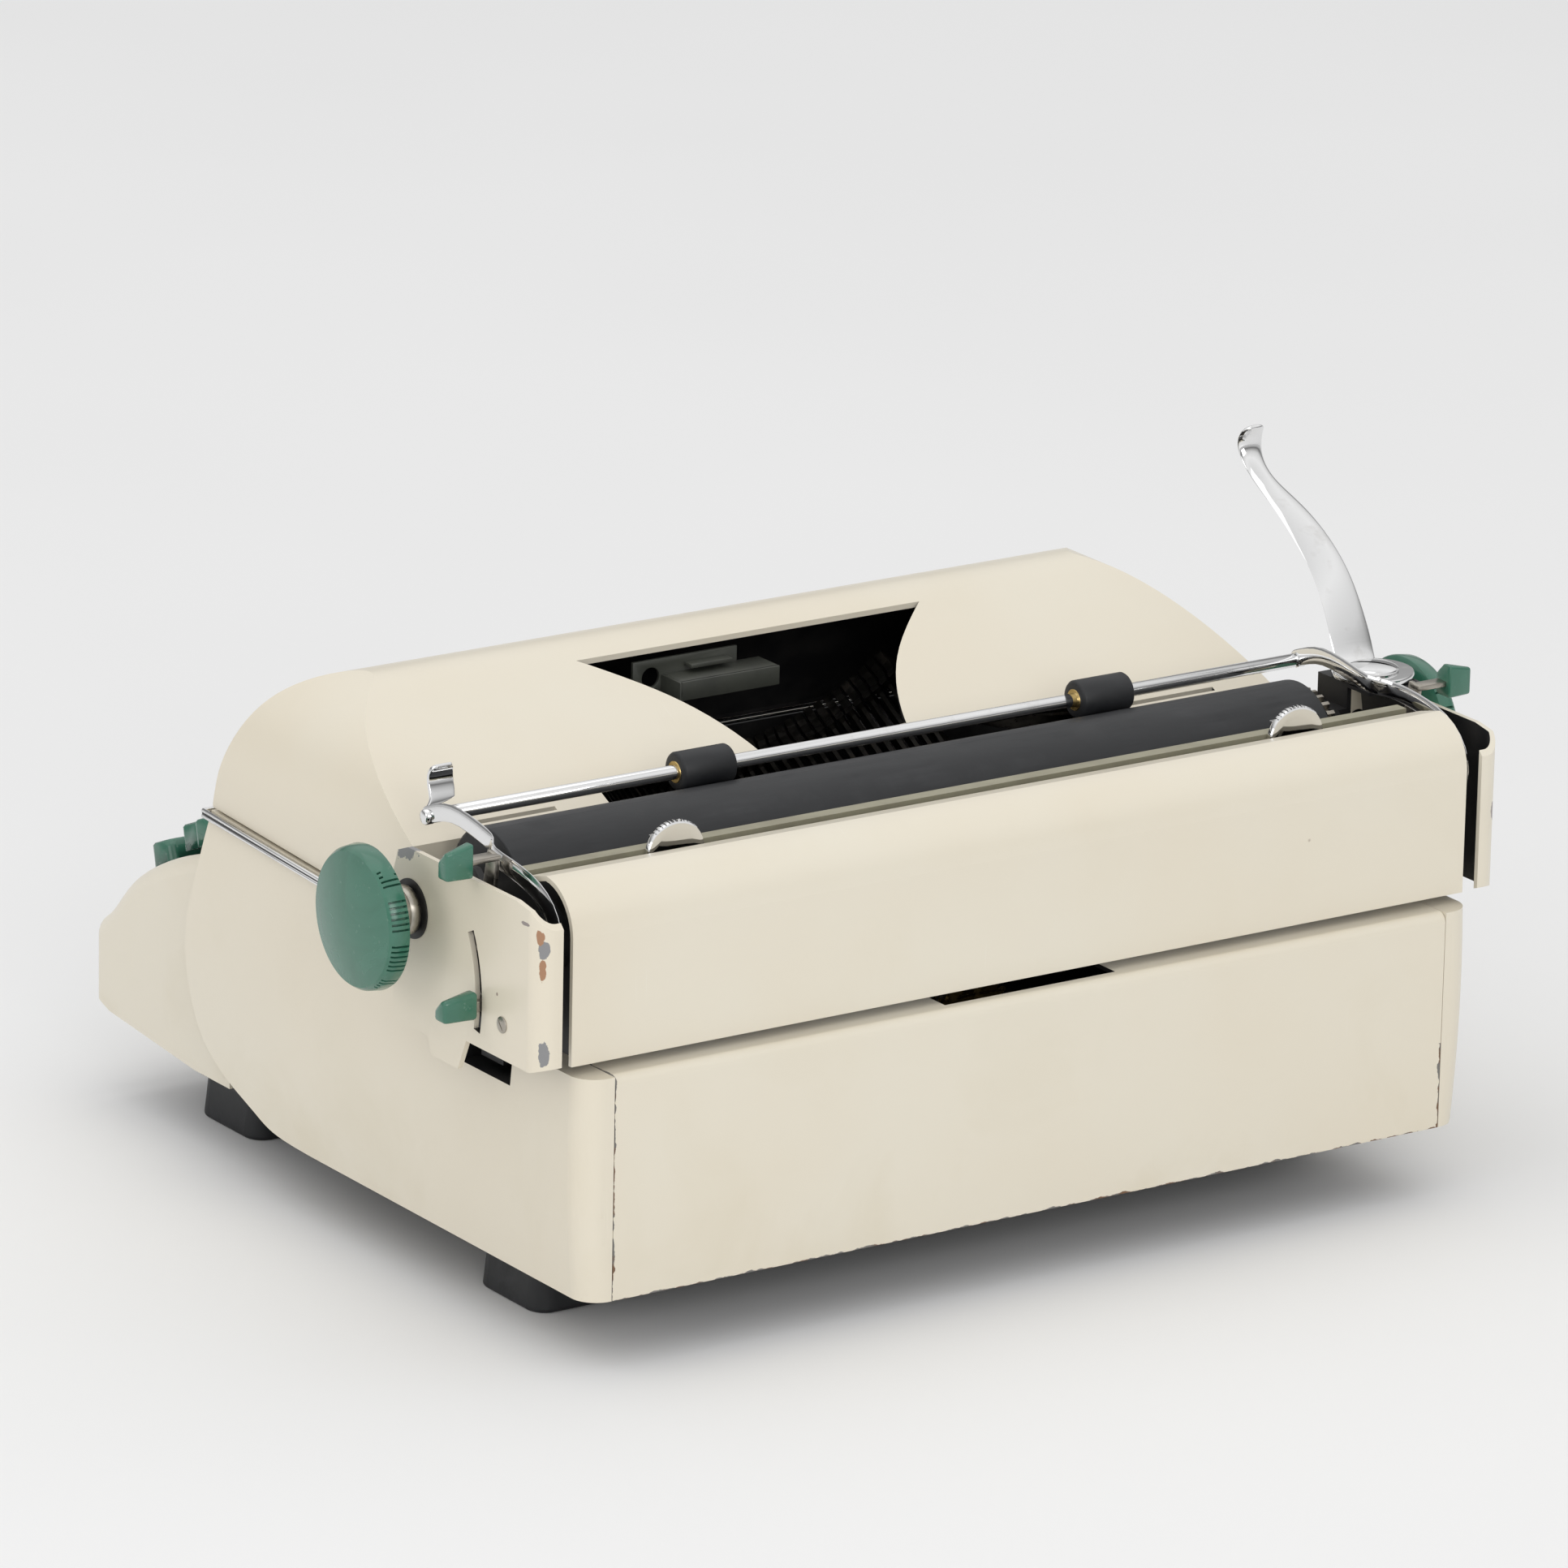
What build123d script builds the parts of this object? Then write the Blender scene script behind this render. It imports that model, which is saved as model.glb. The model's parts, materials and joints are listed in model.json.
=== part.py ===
from build123d import *
import os
from math import cos, pi, radians, sin

os.makedirs("parts", exist_ok=True)

# Portable typewriter, millimetres. X to the operator's right, Y to the rear, Z up.
# The origin is on the floor under the middle of the machine.

# ---- casing ----
sheet = 1.4              # wall of the pressed covers
body_half = 146.0        # flat outer face of a side cover
body_bulge = 2.5         # how far a side cover swells at mid height
seam_half = 138.5        # seam between a side cover and the rear panel
housing_half = 138.0     # keyboard housing, inset from the side covers
rear_y = 137.0           # rear face of the rear panel
under_z = 20.0           # underside of the casing
ledge_z = 83.2           # ledge behind the carriage
trim_front = (-57.0, 106.0)   # top of the side trim at the front, as (y, z)
trim_rear = (44.5, 100.8)     # top of the side trim at the rear
foot_height = 20.0

# ---- hood over the type basket ----
hood_front_y = -57.0
hood_rear_y = 46.0
hood_shoulder = 37.0     # radius of the shoulders seen from the front
hood_top = 151.8
hood_slope = 0.466       # fall of the rear slope per millimetre

# ---- carriage and platen ----
carriage_travel = 110.0
plate_outer = 160.0      # outer face of an end plate
plate_inner = 152.5
cover_half = 148.5       # rear cover of the carriage
bracket_in = 142.5       # inner brackets of the carriage
bracket_out = 144.5
platen_y = 69.0
platen_z = 114.9
platen_r = 18.5
platen_half = 136.0
shaft_r = 5.0
knob_r = 20.15
knob_in = 168.0
knob_out = 181.0
run = 0.05               # radial clearance of a shaft in its hole

# ---- paper bail ----
bail_pivot = (120.0, 112.0)
bail_rod = (54.7, 134.6)
bail_rod_r = 2.0
bail_roller_r = 5.5
bail_roller_width = 17.5
bail_roller_places = {"right": 57.5, "left": -76.5}

# ---- return lever ----
lever_x = -158.0
lever_y = 74.0
lever_base_z = 133.0
lever_sheet = 1.8

# ---- keyboard ----
key_pitch = 19.05
key_gap = 3.6            # side gap between neighbouring keytops
key_depth = 12.6
key_height = 7.5
key_tilt = 23.0          # slope of a keytop, degrees
key_edge = 130.0         # left end of the key field
row_front = {1: -128.0, 2: -111.5, 3: -94.8, 4: -78.0}
row_z = {1: 73.0, 2: 83.0, 3: 90.0, 4: 97.0}
space_half = 72.0        # half length of the space bar
lever_strip = 1.4        # thickness of a key lever
fulcrum = (66.0, 32.0)   # rod that all key levers turn on, as (y, z)
fulcrum_r = 1.5
fulcrum_half = 133.5

# ---- type basket ----
print_point = (53.3, 124.0)
basket_tilt = 30.0       # the bars lie this far above level at rest
bar_length = 68.0
bar_step = 2.95          # degrees between type bars
bar_count = 42
middle_bar = 20          # the bar that swings
bar_thick = 1.2
slug_width = 2.4

# ---- carriage drive ----
tooth = pi               # pitch of the rack, module 1
pinion_teeth = 16
rack_line = 75.6         # pitch line of the rack
pinion_z = rack_line - pinion_teeth / 2
rack_y = (95.2, 98.0)


def flat(points, plane):
    """Sketch of a closed polygon on a plane."""
    with BuildSketch(plane) as face:
        with BuildLine():
            Polyline(*points, close=True)
        make_face()
    return face.sketch


def side_plane(x):
    """Plane that looks along X: its first axis is Y and its second is Z."""
    return Plane.YZ.offset(x)


def front_plane(y):
    """Plane across the machine: its first axis is X and its second is Z, facing the rear."""
    return Plane(origin=(0, y, 0), x_dir=(-1, 0, 0), z_dir=(0, 1, 0))


def block(x, y, z):
    """Box from low to high along each axis."""
    with BuildPart() as made:
        with Locations(((x[0] + x[1]) / 2, (y[0] + y[1]) / 2, (z[0] + z[1]) / 2)):
            Box(x[1] - x[0], y[1] - y[0], z[1] - z[0])
    return made.part


def grip_block(x, y, z, radius):
    """Box with its edges along X rounded."""
    with BuildPart() as made:
        add(block(x, y, z))
        fillet(made.edges().filter_by(Axis.X), radius=radius)
    return made.part


def rod(start, end, radius):
    """Round bar between two points."""
    start = Vector(*start)
    end = Vector(*end)
    with BuildPart() as made:
        with BuildSketch(Plane(origin=start, z_dir=end - start)):
            Circle(radius)
        extrude(amount=(end - start).length)
    return made.part


def save(part, name):
    """Label a finished piece and write its file."""
    part.label = name
    export_step(part, f"parts/{name}.step")


# ---------------- feet ----------------

foot_places = [(120.0, 75.5), (-120.0, 75.5), (112.0, -85.0), (-112.0, -85.0)]

with BuildPart() as rubber_feet:
    with BuildSketch():
        with Locations(*foot_places):
            RectangleRounded(25, 32, 6)
    extrude(amount=foot_height, taper=6)
    fillet(rubber_feet.faces().filter_by(Axis.Z).group_by(Axis.Z)[0].edges(), radius=1.2)
save(rubber_feet.part, "rubber_feet")

# ---------------- base pan ----------------

pan_half = 136.0
drum_centre = (-100.0, 116.0)
drum_post_r = 2.0
drum_post_top = 68.0

with BuildPart() as base_pan:
    pan_line = [
        (134.0, under_z),
        (-79.0, under_z),
        (-126.0, under_z + 4.6),
        (-126.0, under_z + 6.0),
        (-79.0, under_z + sheet),
        (134.0, under_z + sheet),
    ]
    extrude(flat(pan_line, side_plane(-pan_half)), amount=2 * pan_half)
    for side in (-1, 1):
        flange_x = sorted((side * pan_half, side * (pan_half - sheet)))
        add(block(flange_x, (-78.0, 130.0), (under_z + sheet, under_z + 9)))
    add(rod((*drum_centre, under_z), (*drum_centre, drum_post_top), drum_post_r))
save(base_pan.part, "base_pan")

# ---------------- rear panel ----------------

window_half = 28.4
window_y = (106.0, 132.0)
ledge_front_y = 101.0
panel_in = rear_y - 1.2

with BuildPart() as rear_panel:
    panel_line = [
        (panel_in, under_z),
        (rear_y, under_z),
        (rear_y, ledge_z),
        (ledge_front_y, ledge_z),
        (ledge_front_y, ledge_z - 1.2),
        (panel_in, ledge_z - 1.2),
    ]
    extrude(flat(panel_line, side_plane(0.2 - seam_half)), amount=2 * seam_half - 0.4)
    top_edges = rear_panel.edges().filter_by(Axis.X).group_by(Axis.Z)[-1]
    fillet(top_edges.sort_by(Axis.Y)[-1], radius=3.0)
    window = block((-window_half, window_half), window_y, (ledge_z - 3, ledge_z + 3))
    add(window, mode=Mode.SUBTRACT)
save(rear_panel.part, "rear_panel")

# ---------------- side covers ----------------

cover_seat = (2.0, under_z)
cover_belly = (-56.7, 36.3)
cover_nose = (-66.7, 74.0)


def cover_outline(plane, inset):
    """Outline of a side cover seen from the side, drawn in by inset."""

    def inside(point, along_y, along_z):
        return (point[0] + along_y * inset, point[1] + along_z * inset)

    seat = inside(cover_seat, 0, 1)
    nose = inside(cover_nose, 1, 0)
    throat = inside((-66.0, 53.5), 1, 0)
    with BuildSketch(plane) as face:
        with BuildLine():
            Polyline(
                seat,
                inside((rear_y, under_z), -1, 1),
                inside((rear_y, ledge_z), -1, -1),
                inside((102.0, ledge_z), 1, -1),
                inside((101.0, 72.0), 1, -1),
                inside((75.0, 72.0), -1, -1),
                inside((74.0, 76.0), -1, -1),
                inside((45.0, 76.0), -1, -1),
                inside(trim_rear, -1, -1),
                inside(trim_front, 1, -1),
                nose,
            )
            ThreePointArc(nose, inside((-67.6, 64.5), 1, 0), throat)
            Spline(
                throat,
                inside(cover_belly, 0.7, 0.7),
                inside((-34.0, 24.8), 0.3, 0.95),
                seat,
                tangents=[(0.28, -0.96), (1, 0)],
            )
        make_face()
    return face.sketch


def cover_block(inset, inner_x):
    """Solid of the right side cover, shrunk by inset, open towards the middle."""
    flat_x = body_half - inset
    with BuildPart() as made:
        extrude(cover_outline(side_plane(inner_x), inset), amount=20)
        with BuildSketch(front_plane(-100)):
            with BuildLine():
                Polyline(
                    (-flat_x, trim_front[1] + 4),
                    (-inner_x, trim_front[1] + 4),
                    (-inner_x, under_z - 4),
                    (-flat_x, under_z - 4),
                )
                ThreePointArc(
                    (-flat_x, under_z - 4),
                    (-flat_x - body_bulge, 60.0),
                    (-flat_x, trim_front[1] + 4),
                )
            make_face()
        extrude(amount=300, mode=Mode.INTERSECT)
        corner = made.edges().filter_by(lambda e: e.length > 50)
        corner = corner.filter_by_position(Axis.Y, rear_y - inset - 0.1, rear_y + 1)
        fillet(corner.sort_by(Axis.X)[-1], radius=7.5 - inset)
    return made.part


with BuildPart() as side_cover_right:
    add(cover_block(0, seam_half))
    add(cover_block(sheet, seam_half - 3), mode=Mode.SUBTRACT)
save(side_cover_right.part, "side_cover_right")

with BuildPart() as side_cover_left:
    add(mirror(side_cover_right.part, about=Plane.YZ))
save(side_cover_left.part, "side_cover_left")

# ---------------- keyboard housing ----------------

housing_rear_y = -60.5
opening_half = 134.0
opening_front_y = -132.5


def housing_block(inset, round_r):
    """Solid of the keyboard housing, drawn in by inset."""
    half = housing_half - inset
    with BuildPart() as made:
        with BuildSketch(side_plane(-half)):
            with BuildLine():
                Polyline(
                    (-136.4 + inset, 45.9),
                    (-136.4 + inset, 31.5),
                    (-133.0 + inset, 27.4 + inset * 0.6),
                    (-126.8 + inset * 0.4, 25.4 + inset),
                    (-79.6, 21.4 + inset),
                    (housing_rear_y, 21.4 + inset),
                    (housing_rear_y, 90.0 - inset),
                )
                Spline(
                    (housing_rear_y, 90.0 - inset),
                    (-79.0, 85.4 - inset),
                    (-104.4 + inset * 0.5, 75.2 - inset),
                    (-120.1 + inset * 0.7, 64.6 - inset * 0.7),
                    (-131.4 + inset * 0.8, 53.4 - inset * 0.6),
                    (-136.4 + inset, 45.9),
                    tangents=[(-0.98, -0.2), (0, -1)],
                )
            make_face()
        extrude(amount=2 * half)
        rims = made.edges().filter_by(lambda e: e.length > 60 and abs(e.center().X) > half - 0.1)
        fillet(rims.group_by(Axis.Z)[-1], radius=round_r)
    return made.part


with BuildPart() as keyboard_housing:
    add(housing_block(0, 5.0))
    add(housing_block(sheet, 3.6), mode=Mode.SUBTRACT)
    opening = block((-opening_half, opening_half), (opening_front_y, -50), (50, 110))
    add(opening, mode=Mode.SUBTRACT)
    rear_cut = block((-130, 130), (-62.5, -50), (10, 110))
    add(rear_cut, mode=Mode.SUBTRACT)
    bar_cut = block((-space_half - 3, space_half + 3), (-140, -129), (44, 110))
    add(bar_cut, mode=Mode.SUBTRACT)
    floor_cut = block((-136.6, 136.6), (-129, -50), (10, 28.0))
    add(floor_cut, mode=Mode.SUBTRACT)
save(keyboard_housing.part, "keyboard_housing")

# ---------------- hood ----------------

hood_gap = 1.0


def hood_block(inset):
    """Solid of the hood: its side profile cut by its front profile."""
    half = body_half - inset
    low = 80.0
    shoulder = hood_shoulder - inset
    top = hood_top - inset
    knee = (0.0 - inset * 0.4, 145.0 - inset)
    rear_top = (hood_rear_y - inset, 145.0 - hood_slope * hood_rear_y - inset * 0.6)
    with BuildPart() as made:
        with BuildSketch(side_plane(-half - 1)):
            with BuildLine():
                Polyline(
                    knee,
                    rear_top,
                    (hood_rear_y - inset, low),
                    (hood_front_y + inset, low),
                    (hood_front_y + inset, 108.0),
                )
                Spline(
                    (hood_front_y + inset, 108.0),
                    (-50.5 + inset, 127.0 - inset * 0.3),
                    (-42.5 + inset * 0.7, 141.0 - inset * 0.7),
                    (-32.0 + inset * 0.4, 148.6 - inset),
                    (-19.0, top),
                    knee,
                    tangents=[(0.2, 0.98), (1, -hood_slope)],
                )
            make_face()
        extrude(amount=2 * half + 2)
        with BuildSketch(front_plane(-100)) as front:
            with Locations((0, (low + top + 1.2) / 2)):
                Rectangle(2 * half, top + 1.2 - low)
            fillet(front.vertices().group_by(Axis.Y)[-1], radius=shoulder)
        extrude(amount=200, mode=Mode.INTERSECT)
    return made.part


hood_sill = [
    (hood_front_y - 1, trim_front[1] + hood_gap),
    (hood_rear_y + 1, trim_rear[1] + hood_gap),
    (hood_rear_y + 1, 70),
    (hood_front_y - 1, 70),
]
opening_y = (-8.0, 36.0)
mouth_half = 58.0
throat_half = 24.5
slot_x = (96.4, 126.0)

with BuildPart() as hood_shell:
    add(hood_block(0))
    add(hood_block(sheet), mode=Mode.SUBTRACT)
    extrude(flat(hood_sill, side_plane(-160)), amount=320, mode=Mode.SUBTRACT)
    with BuildSketch(Plane.XY.offset(90)):
        with BuildLine():
            Line((-throat_half, opening_y[1] + 12), (throat_half, opening_y[1] + 12))
            for side in (1, -1):
                Line((side * throat_half, opening_y[1] + 12), (side * throat_half, opening_y[1]))
                Spline(
                    (side * throat_half, opening_y[1]),
                    (side * 28.6, 25.0),
                    (side * 37.5, 11.0),
                    (side * 49.5, -1.0),
                    (side * mouth_half, opening_y[0]),
                )
            Line((mouth_half, opening_y[0]), (-mouth_half, opening_y[0]))
        make_face()
    extrude(amount=100, mode=Mode.SUBTRACT)
    add(block((-80, 80), (35.0, 60), (90, 160)), mode=Mode.SUBTRACT)
    for side in (-1, 1):
        slot = sorted((side * slot_x[0], side * slot_x[1]))
        add(block(slot, (41.0, 42.4), (115, 140)), mode=Mode.SUBTRACT)
save(hood_shell.part, "hood_shell")

# ---------------- trim ----------------

bead = 1.2               # thickness of the bright bead
bead_out = 2.7           # its outer face, proud of the side cover

with BuildPart() as trim_beads:
    bead_line = [
        (trim_front[0] - 2.6, trim_front[1] - 2.4),
        (trim_rear[0], trim_rear[1] - 2.4),
        (trim_rear[0], trim_rear[1] + 0.4),
        (trim_front[0] - 2.6, trim_front[1] + 0.4),
    ]
    for start in (body_half + bead_out - bead, -body_half - bead_out):
        extrude(flat(bead_line, side_plane(start)), amount=bead)
    front_bar = (-body_half - bead_out, body_half + bead_out)
    add(block(front_bar, (trim_front[0] - 2.6, trim_front[0] - 1.2), (103.6, 106.4)))
save(trim_beads.part, "trim_beads")

# ---------------- side frames, key rod and carriage rail ----------------

frame_in = 132.0
rail_y = (80.0, 92.0)
rail_z = (62.0, 73.4)
cross_bar_y = (11.0, 20.0)   # bar that carries the type segment
cross_bar_z = (47.0, 55.5)

with BuildPart() as side_frames:
    frame_line = [
        (-58.0, under_z + sheet),
        (126.0, under_z + sheet),
        (126.0, rail_z[0]),
        (-30.0, rail_z[0]),
        (-58.0, 40.0),
    ]
    for start in (frame_in, -fulcrum_half):
        extrude(flat(frame_line, side_plane(start)), amount=fulcrum_half - frame_in)
    add(block((-frame_in, frame_in), cross_bar_y, cross_bar_z))
    add(rod((-140, *fulcrum), (140, *fulcrum), fulcrum_r), mode=Mode.SUBTRACT)
save(side_frames.part, "side_frames")

with BuildPart() as key_lever_rod:
    add(rod((-fulcrum_half, *fulcrum), (fulcrum_half, *fulcrum), fulcrum_r))
save(key_lever_rod.part, "key_lever_rod")

with BuildPart() as carriage_rail:
    add(block((-frame_in - 1.5, frame_in + 1.5), rail_y, rail_z))
    edges = carriage_rail.edges().filter_by(Axis.X).group_by(Axis.Z)[-1]
    chamfer(edges, length=1.0)
save(carriage_rail.part, "carriage_rail")

# ---------------- type basket ----------------

tilt = radians(basket_tilt)
basket_axis = Vector(0, -cos(tilt), sin(tilt))    # the way a bar lies at rest
basket_down = Vector(0, -sin(tilt), -cos(tilt))
basket_across = Vector(1, 0, 0)
strike = Vector(0, *print_point)
segment_inner = 60.0
segment_outer = 76.0
segment_depth = 10.0
segment_span = 67.0
slot_width = 1.7


def bar_angle(number):
    """Angle of a type bar round the basket, from straight down."""
    return (number - middle_bar) * bar_step


def bar_root(number):
    """Point that a type bar turns about, and the outward direction there."""
    angle = radians(bar_angle(number))
    outward = basket_down * cos(angle) + basket_across * sin(angle)
    return strike + outward * bar_length, outward


with BuildPart() as type_segment:
    basket_plane = Plane(
        origin=strike - basket_axis * (segment_depth / 2),
        x_dir=basket_across,
        z_dir=basket_axis,
    )
    with BuildSketch(basket_plane):
        with BuildLine():
            start = -90 - segment_span
            outer = CenterArc((0, 0), segment_outer, start, 2 * segment_span)
            inner = CenterArc((0, 0), segment_inner, start, 2 * segment_span)
            Line(outer @ 0, inner @ 0)
            Line(outer @ 1, inner @ 1)
        make_face()
        for number in range(bar_count):
            middle = (segment_inner + segment_outer) / 2 - 1.5
            with PolarLocations(middle, 1, start_angle=bar_angle(number) - 90):
                Rectangle(15.0, slot_width, mode=Mode.SUBTRACT)
    extrude(amount=segment_depth)
save(type_segment.part, "type_segment")


def type_bar(number):
    """One type bar with its type block, lying at rest."""
    root, outward = bar_root(number)
    side = basket_axis.cross(outward)
    bar_line = [(-3.6, -2.0), (bar_length - 4, -2.0), (bar_length - 4, 2.0), (-3.6, 2.0)]
    block_line = [
        (bar_length - 8, -2.0),
        (bar_length + 1, -2.0),
        (bar_length + 1, 5.0),
        (bar_length - 1.5, 5.0),
        (bar_length - 2.5, 3.6),
        (bar_length - 5.5, 3.6),
        (bar_length - 6.5, 5.0),
        (bar_length - 8, 5.0),
    ]
    plane = Plane(origin=root, x_dir=basket_axis, z_dir=-side)
    with BuildPart() as made:
        extrude(flat(bar_line, plane), amount=bar_thick / 2, both=True)
        extrude(flat(block_line, plane), amount=slug_width / 2, both=True)
    return made.part


with BuildPart() as type_bars:
    for number in range(bar_count):
        if number != middle_bar:
            add(type_bar(number))
save(type_bars.part, "type_bars")

with BuildPart() as middle_type_bar:
    add(type_bar(middle_bar))
save(middle_type_bar.part, "middle_type_bar")

# ---------------- keyboard ----------------

unit = key_pitch
row_start = {1: 2.25, 2: 1.75, 3: 1.5, 4: 1.0}
row_count = {1: 10, 2: 10, 3: 11, 4: 11}
row_right = {1: 125.5, 2: 125.5, 3: 131.5, 4: 131.5}
centre_key = (2, 5)


def key_centre(row, number):
    """Middle of a letter key along X."""
    return -key_edge + (row_start[row] + number + 0.5) * unit


def keytop(row, low_x, high_x):
    """One tilted keytop with a dished top, between two places along X."""
    width = high_x - low_x
    rise = key_depth * sin(radians(key_tilt))
    middle = Vector((low_x + high_x) / 2, row_front[row] + key_depth / 2, row_z[row] + rise / 2)
    tilted = Plane(middle, x_dir=(1, 0, 0), z_dir=(0, -sin(radians(key_tilt)), cos(radians(key_tilt))))
    with BuildPart() as made:
        with BuildSketch(tilted):
            RectangleRounded(width - 1.6, key_depth - 1.4, 2.6)
        extrude(amount=-key_height, taper=-5)
        rim = made.faces().sort_by(Axis.Z)[-1]
        chamfer(rim.edges(), length=0.6)
    return made.part


def key_lever(row, x):
    """Flat lever from the rod to a keytop, with its upright stem."""
    stem_y = row_front[row] + key_depth / 2 + 1.0
    slope = 0.075
    lever_z = fulcrum[1] + slope * (fulcrum[0] - stem_y)
    stem_top = row_z[row] - 4.6
    line = [
        (fulcrum[0] + 4, fulcrum[1] - 3.2),
        (fulcrum[0] + 4, fulcrum[1] + 3.2),
        (stem_y + 2, lever_z + 3.0),
        (stem_y + 2, stem_top),
        (stem_y - 2, stem_top),
        (stem_y - 2, lever_z - 3.0),
    ]
    plane = side_plane(x - lever_strip / 2)
    with BuildPart() as made:
        extrude(flat(line, plane), amount=lever_strip)
        eye = rod((x - 5, *fulcrum), (x + 5, *fulcrum), fulcrum_r + run)
        add(eye, mode=Mode.SUBTRACT)
    return made.part


def key(row, low_x, high_x, x):
    """Keytop between two places along X, on the stem of a lever at x."""
    stem_y = row_front[row] + key_depth / 2 + 1.0
    socket = block(
        (x - 0.75, x + 0.75),
        (stem_y - 2.05, stem_y + 2.05),
        (row_z[row] - 12, row_z[row] - 4.55),
    )
    with BuildPart() as made:
        add(keytop(row, low_x, high_x))
        add(socket, mode=Mode.SUBTRACT)
        add(key_lever(row, x))
    return made.part


def letter_key(row, number):
    """Keytop and lever of one letter key."""
    x = key_centre(row, number)
    half = (unit - key_gap) / 2
    return key(row, x - half, x + half, x)


for row in row_start:
    with BuildPart() as key_row:
        for number in range(row_count[row]):
            if (row, number) != centre_key:
                add(letter_key(row, number))
    save(key_row.part, f"key_row_{row}")

with BuildPart() as centre_letter_key:
    add(letter_key(*centre_key))
save(centre_letter_key.part, "centre_letter_key")


def left_key(row):
    """Wide key at the left end of a row."""
    low = -key_edge + key_gap / 2
    high = -key_edge + row_start[row] * unit - key_gap / 2
    return key(row, low, high, key_centre(row, -1))


def right_key(row):
    """Wide key at the right end of a row."""
    low = -key_edge + (row_start[row] + row_count[row]) * unit + key_gap / 2
    return key(row, low, row_right[row], key_centre(row, row_count[row]))


with BuildPart() as shift_keys:
    add(left_key(1))
    add(right_key(1))
save(shift_keys.part, "shift_keys")

wide_keys = {
    "shift_lock_key": left_key(2),
    "tabulator_key": right_key(2),
    "margin_release_key": left_key(3),
    "paragraph_key": right_key(3),
    "ribbon_reverse_key": left_key(4),
    "backspace_key": right_key(4),
}
for name, made in wide_keys.items():
    save(made, name)

space_y = (-137.0, -129.6)
space_z = (54.5, 62.5)
space_arms = [key_centre(4, 2) + unit / 8, key_centre(3, 8) + unit / 8]

with BuildPart() as space_bar:
    add(block((-space_half, space_half), space_y, space_z))
    fillet(space_bar.edges().filter_by(Axis.Z), radius=2.4)
    fillet(space_bar.edges().group_by(Axis.Z)[-1], radius=1.2)
    for arm_x in space_arms:
        arm_line = [
            (fulcrum[0] + 4, fulcrum[1] - 3.2),
            (fulcrum[0] + 4, fulcrum[1] + 3.2),
            (-128.5, 45.6),
            (-131.0, space_z[0]),
            (-134.5, space_z[0]),
            (-131.6, 40.6),
        ]
        extrude(flat(arm_line, side_plane(arm_x - 0.7)), amount=1.4)
        add(rod((arm_x - 5, *fulcrum), (arm_x + 5, *fulcrum), fulcrum_r + run), mode=Mode.SUBTRACT)
save(space_bar.part, "space_bar")

# ---------------- ribbon ----------------

spool_places = {"right": (97.0, -6.0), "left": (-97.0, -6.0)}
spool_z = (103.0, 117.5)
cup_r = 27.0
spool_r = 24.0
post_r = 2.5

with BuildPart() as ribbon_cups:
    for x, y in spool_places.values():
        with BuildSketch(Plane.XY.offset(spool_z[0] - 2.2)):
            with Locations((x, y)):
                Circle(cup_r)
        extrude(amount=spool_z[1] - spool_z[0] - 2)
        with BuildSketch(Plane.XY.offset(spool_z[0] - 1.0)):
            with Locations((x, y)):
                Circle(cup_r - 1.2)
        extrude(amount=30, mode=Mode.SUBTRACT)
        add(rod((x, y, spool_z[0] - 1.6), (x, y, spool_z[1] - 2), post_r))
        leg_x = sorted((x * 1.1, frame_in if x > 0 else -frame_in))
        add(block(leg_x, (y - 6, y + 6), (spool_z[0] - 2.2 - 1.6, spool_z[0] - 2.2)))
        post_x = sorted(((frame_in - 1.5) * x / abs(x), frame_in * x / abs(x)))
        add(block(post_x, (y - 6, y + 6), (50.0, spool_z[0] - 2.2)))
save(ribbon_cups.part, "ribbon_cups")

for side, (x, y) in spool_places.items():
    with BuildPart() as spool:
        with BuildSketch(Plane(origin=(x, y, 0), x_dir=(1, 0, 0), z_dir=(0, -1, 0))):
            with BuildLine():
                Polyline(
                    (post_r + run, spool_z[0]),
                    (spool_r, spool_z[0]),
                    (spool_r, spool_z[0] + 0.8),
                    (19.0, spool_z[0] + 0.8),
                    (19.0, spool_z[1] - 0.8),
                    (spool_r, spool_z[1] - 0.8),
                    (spool_r, spool_z[1]),
                    (post_r + run, spool_z[1]),
                    close=True,
                )
            make_face()
        revolve(axis=Axis((x, y, 0), (0, 0, 1)))
    save(spool.part, f"ribbon_spool_{side}")

vibrator_y = (45.2, 46.6)
vibrator_low = 90.0
vibrator_top = 112.0

with BuildPart() as ribbon_vibrator:
    with BuildSketch(front_plane(vibrator_y[0])):
        with Locations((0, (vibrator_low + vibrator_top) / 2)):
            Rectangle(22, vibrator_top - vibrator_low)
        with Locations((0, vibrator_top)):
            Rectangle(17, 2 * (vibrator_top - vibrator_low - 5), mode=Mode.SUBTRACT)
        for side in (-1, 1):
            with Locations((side * 9.7, vibrator_top - 8)):
                Rectangle(1.0, 12, mode=Mode.SUBTRACT)
    extrude(amount=vibrator_y[1] - vibrator_y[0])
save(ribbon_vibrator.part, "ribbon_vibrator")

guide_y = (47.4, 48.8)
guide_line = [
    (-9, 72),
    (9, 72),
    (9, 96),
    (3.4, 99),
    (2.2, 104),
    (-2.2, 104),
    (-3.4, 99),
    (-9, 96),
]

with BuildPart() as type_guide:
    extrude(flat(guide_line, front_plane(guide_y[0])), amount=guide_y[1] - guide_y[0])
    add(block((-9, 9), (guide_y[1], rail_y[0]), (72.0, rail_z[1])))
save(type_guide.part, "type_guide")

# ---------------- carriage drive on the frame ----------------

pinion_r = pinion_teeth / 2
wheel_y = (104.0, 105.2)
wheel_r = 12.5
arbor_r = 2.0
wheel_teeth = 24

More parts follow.
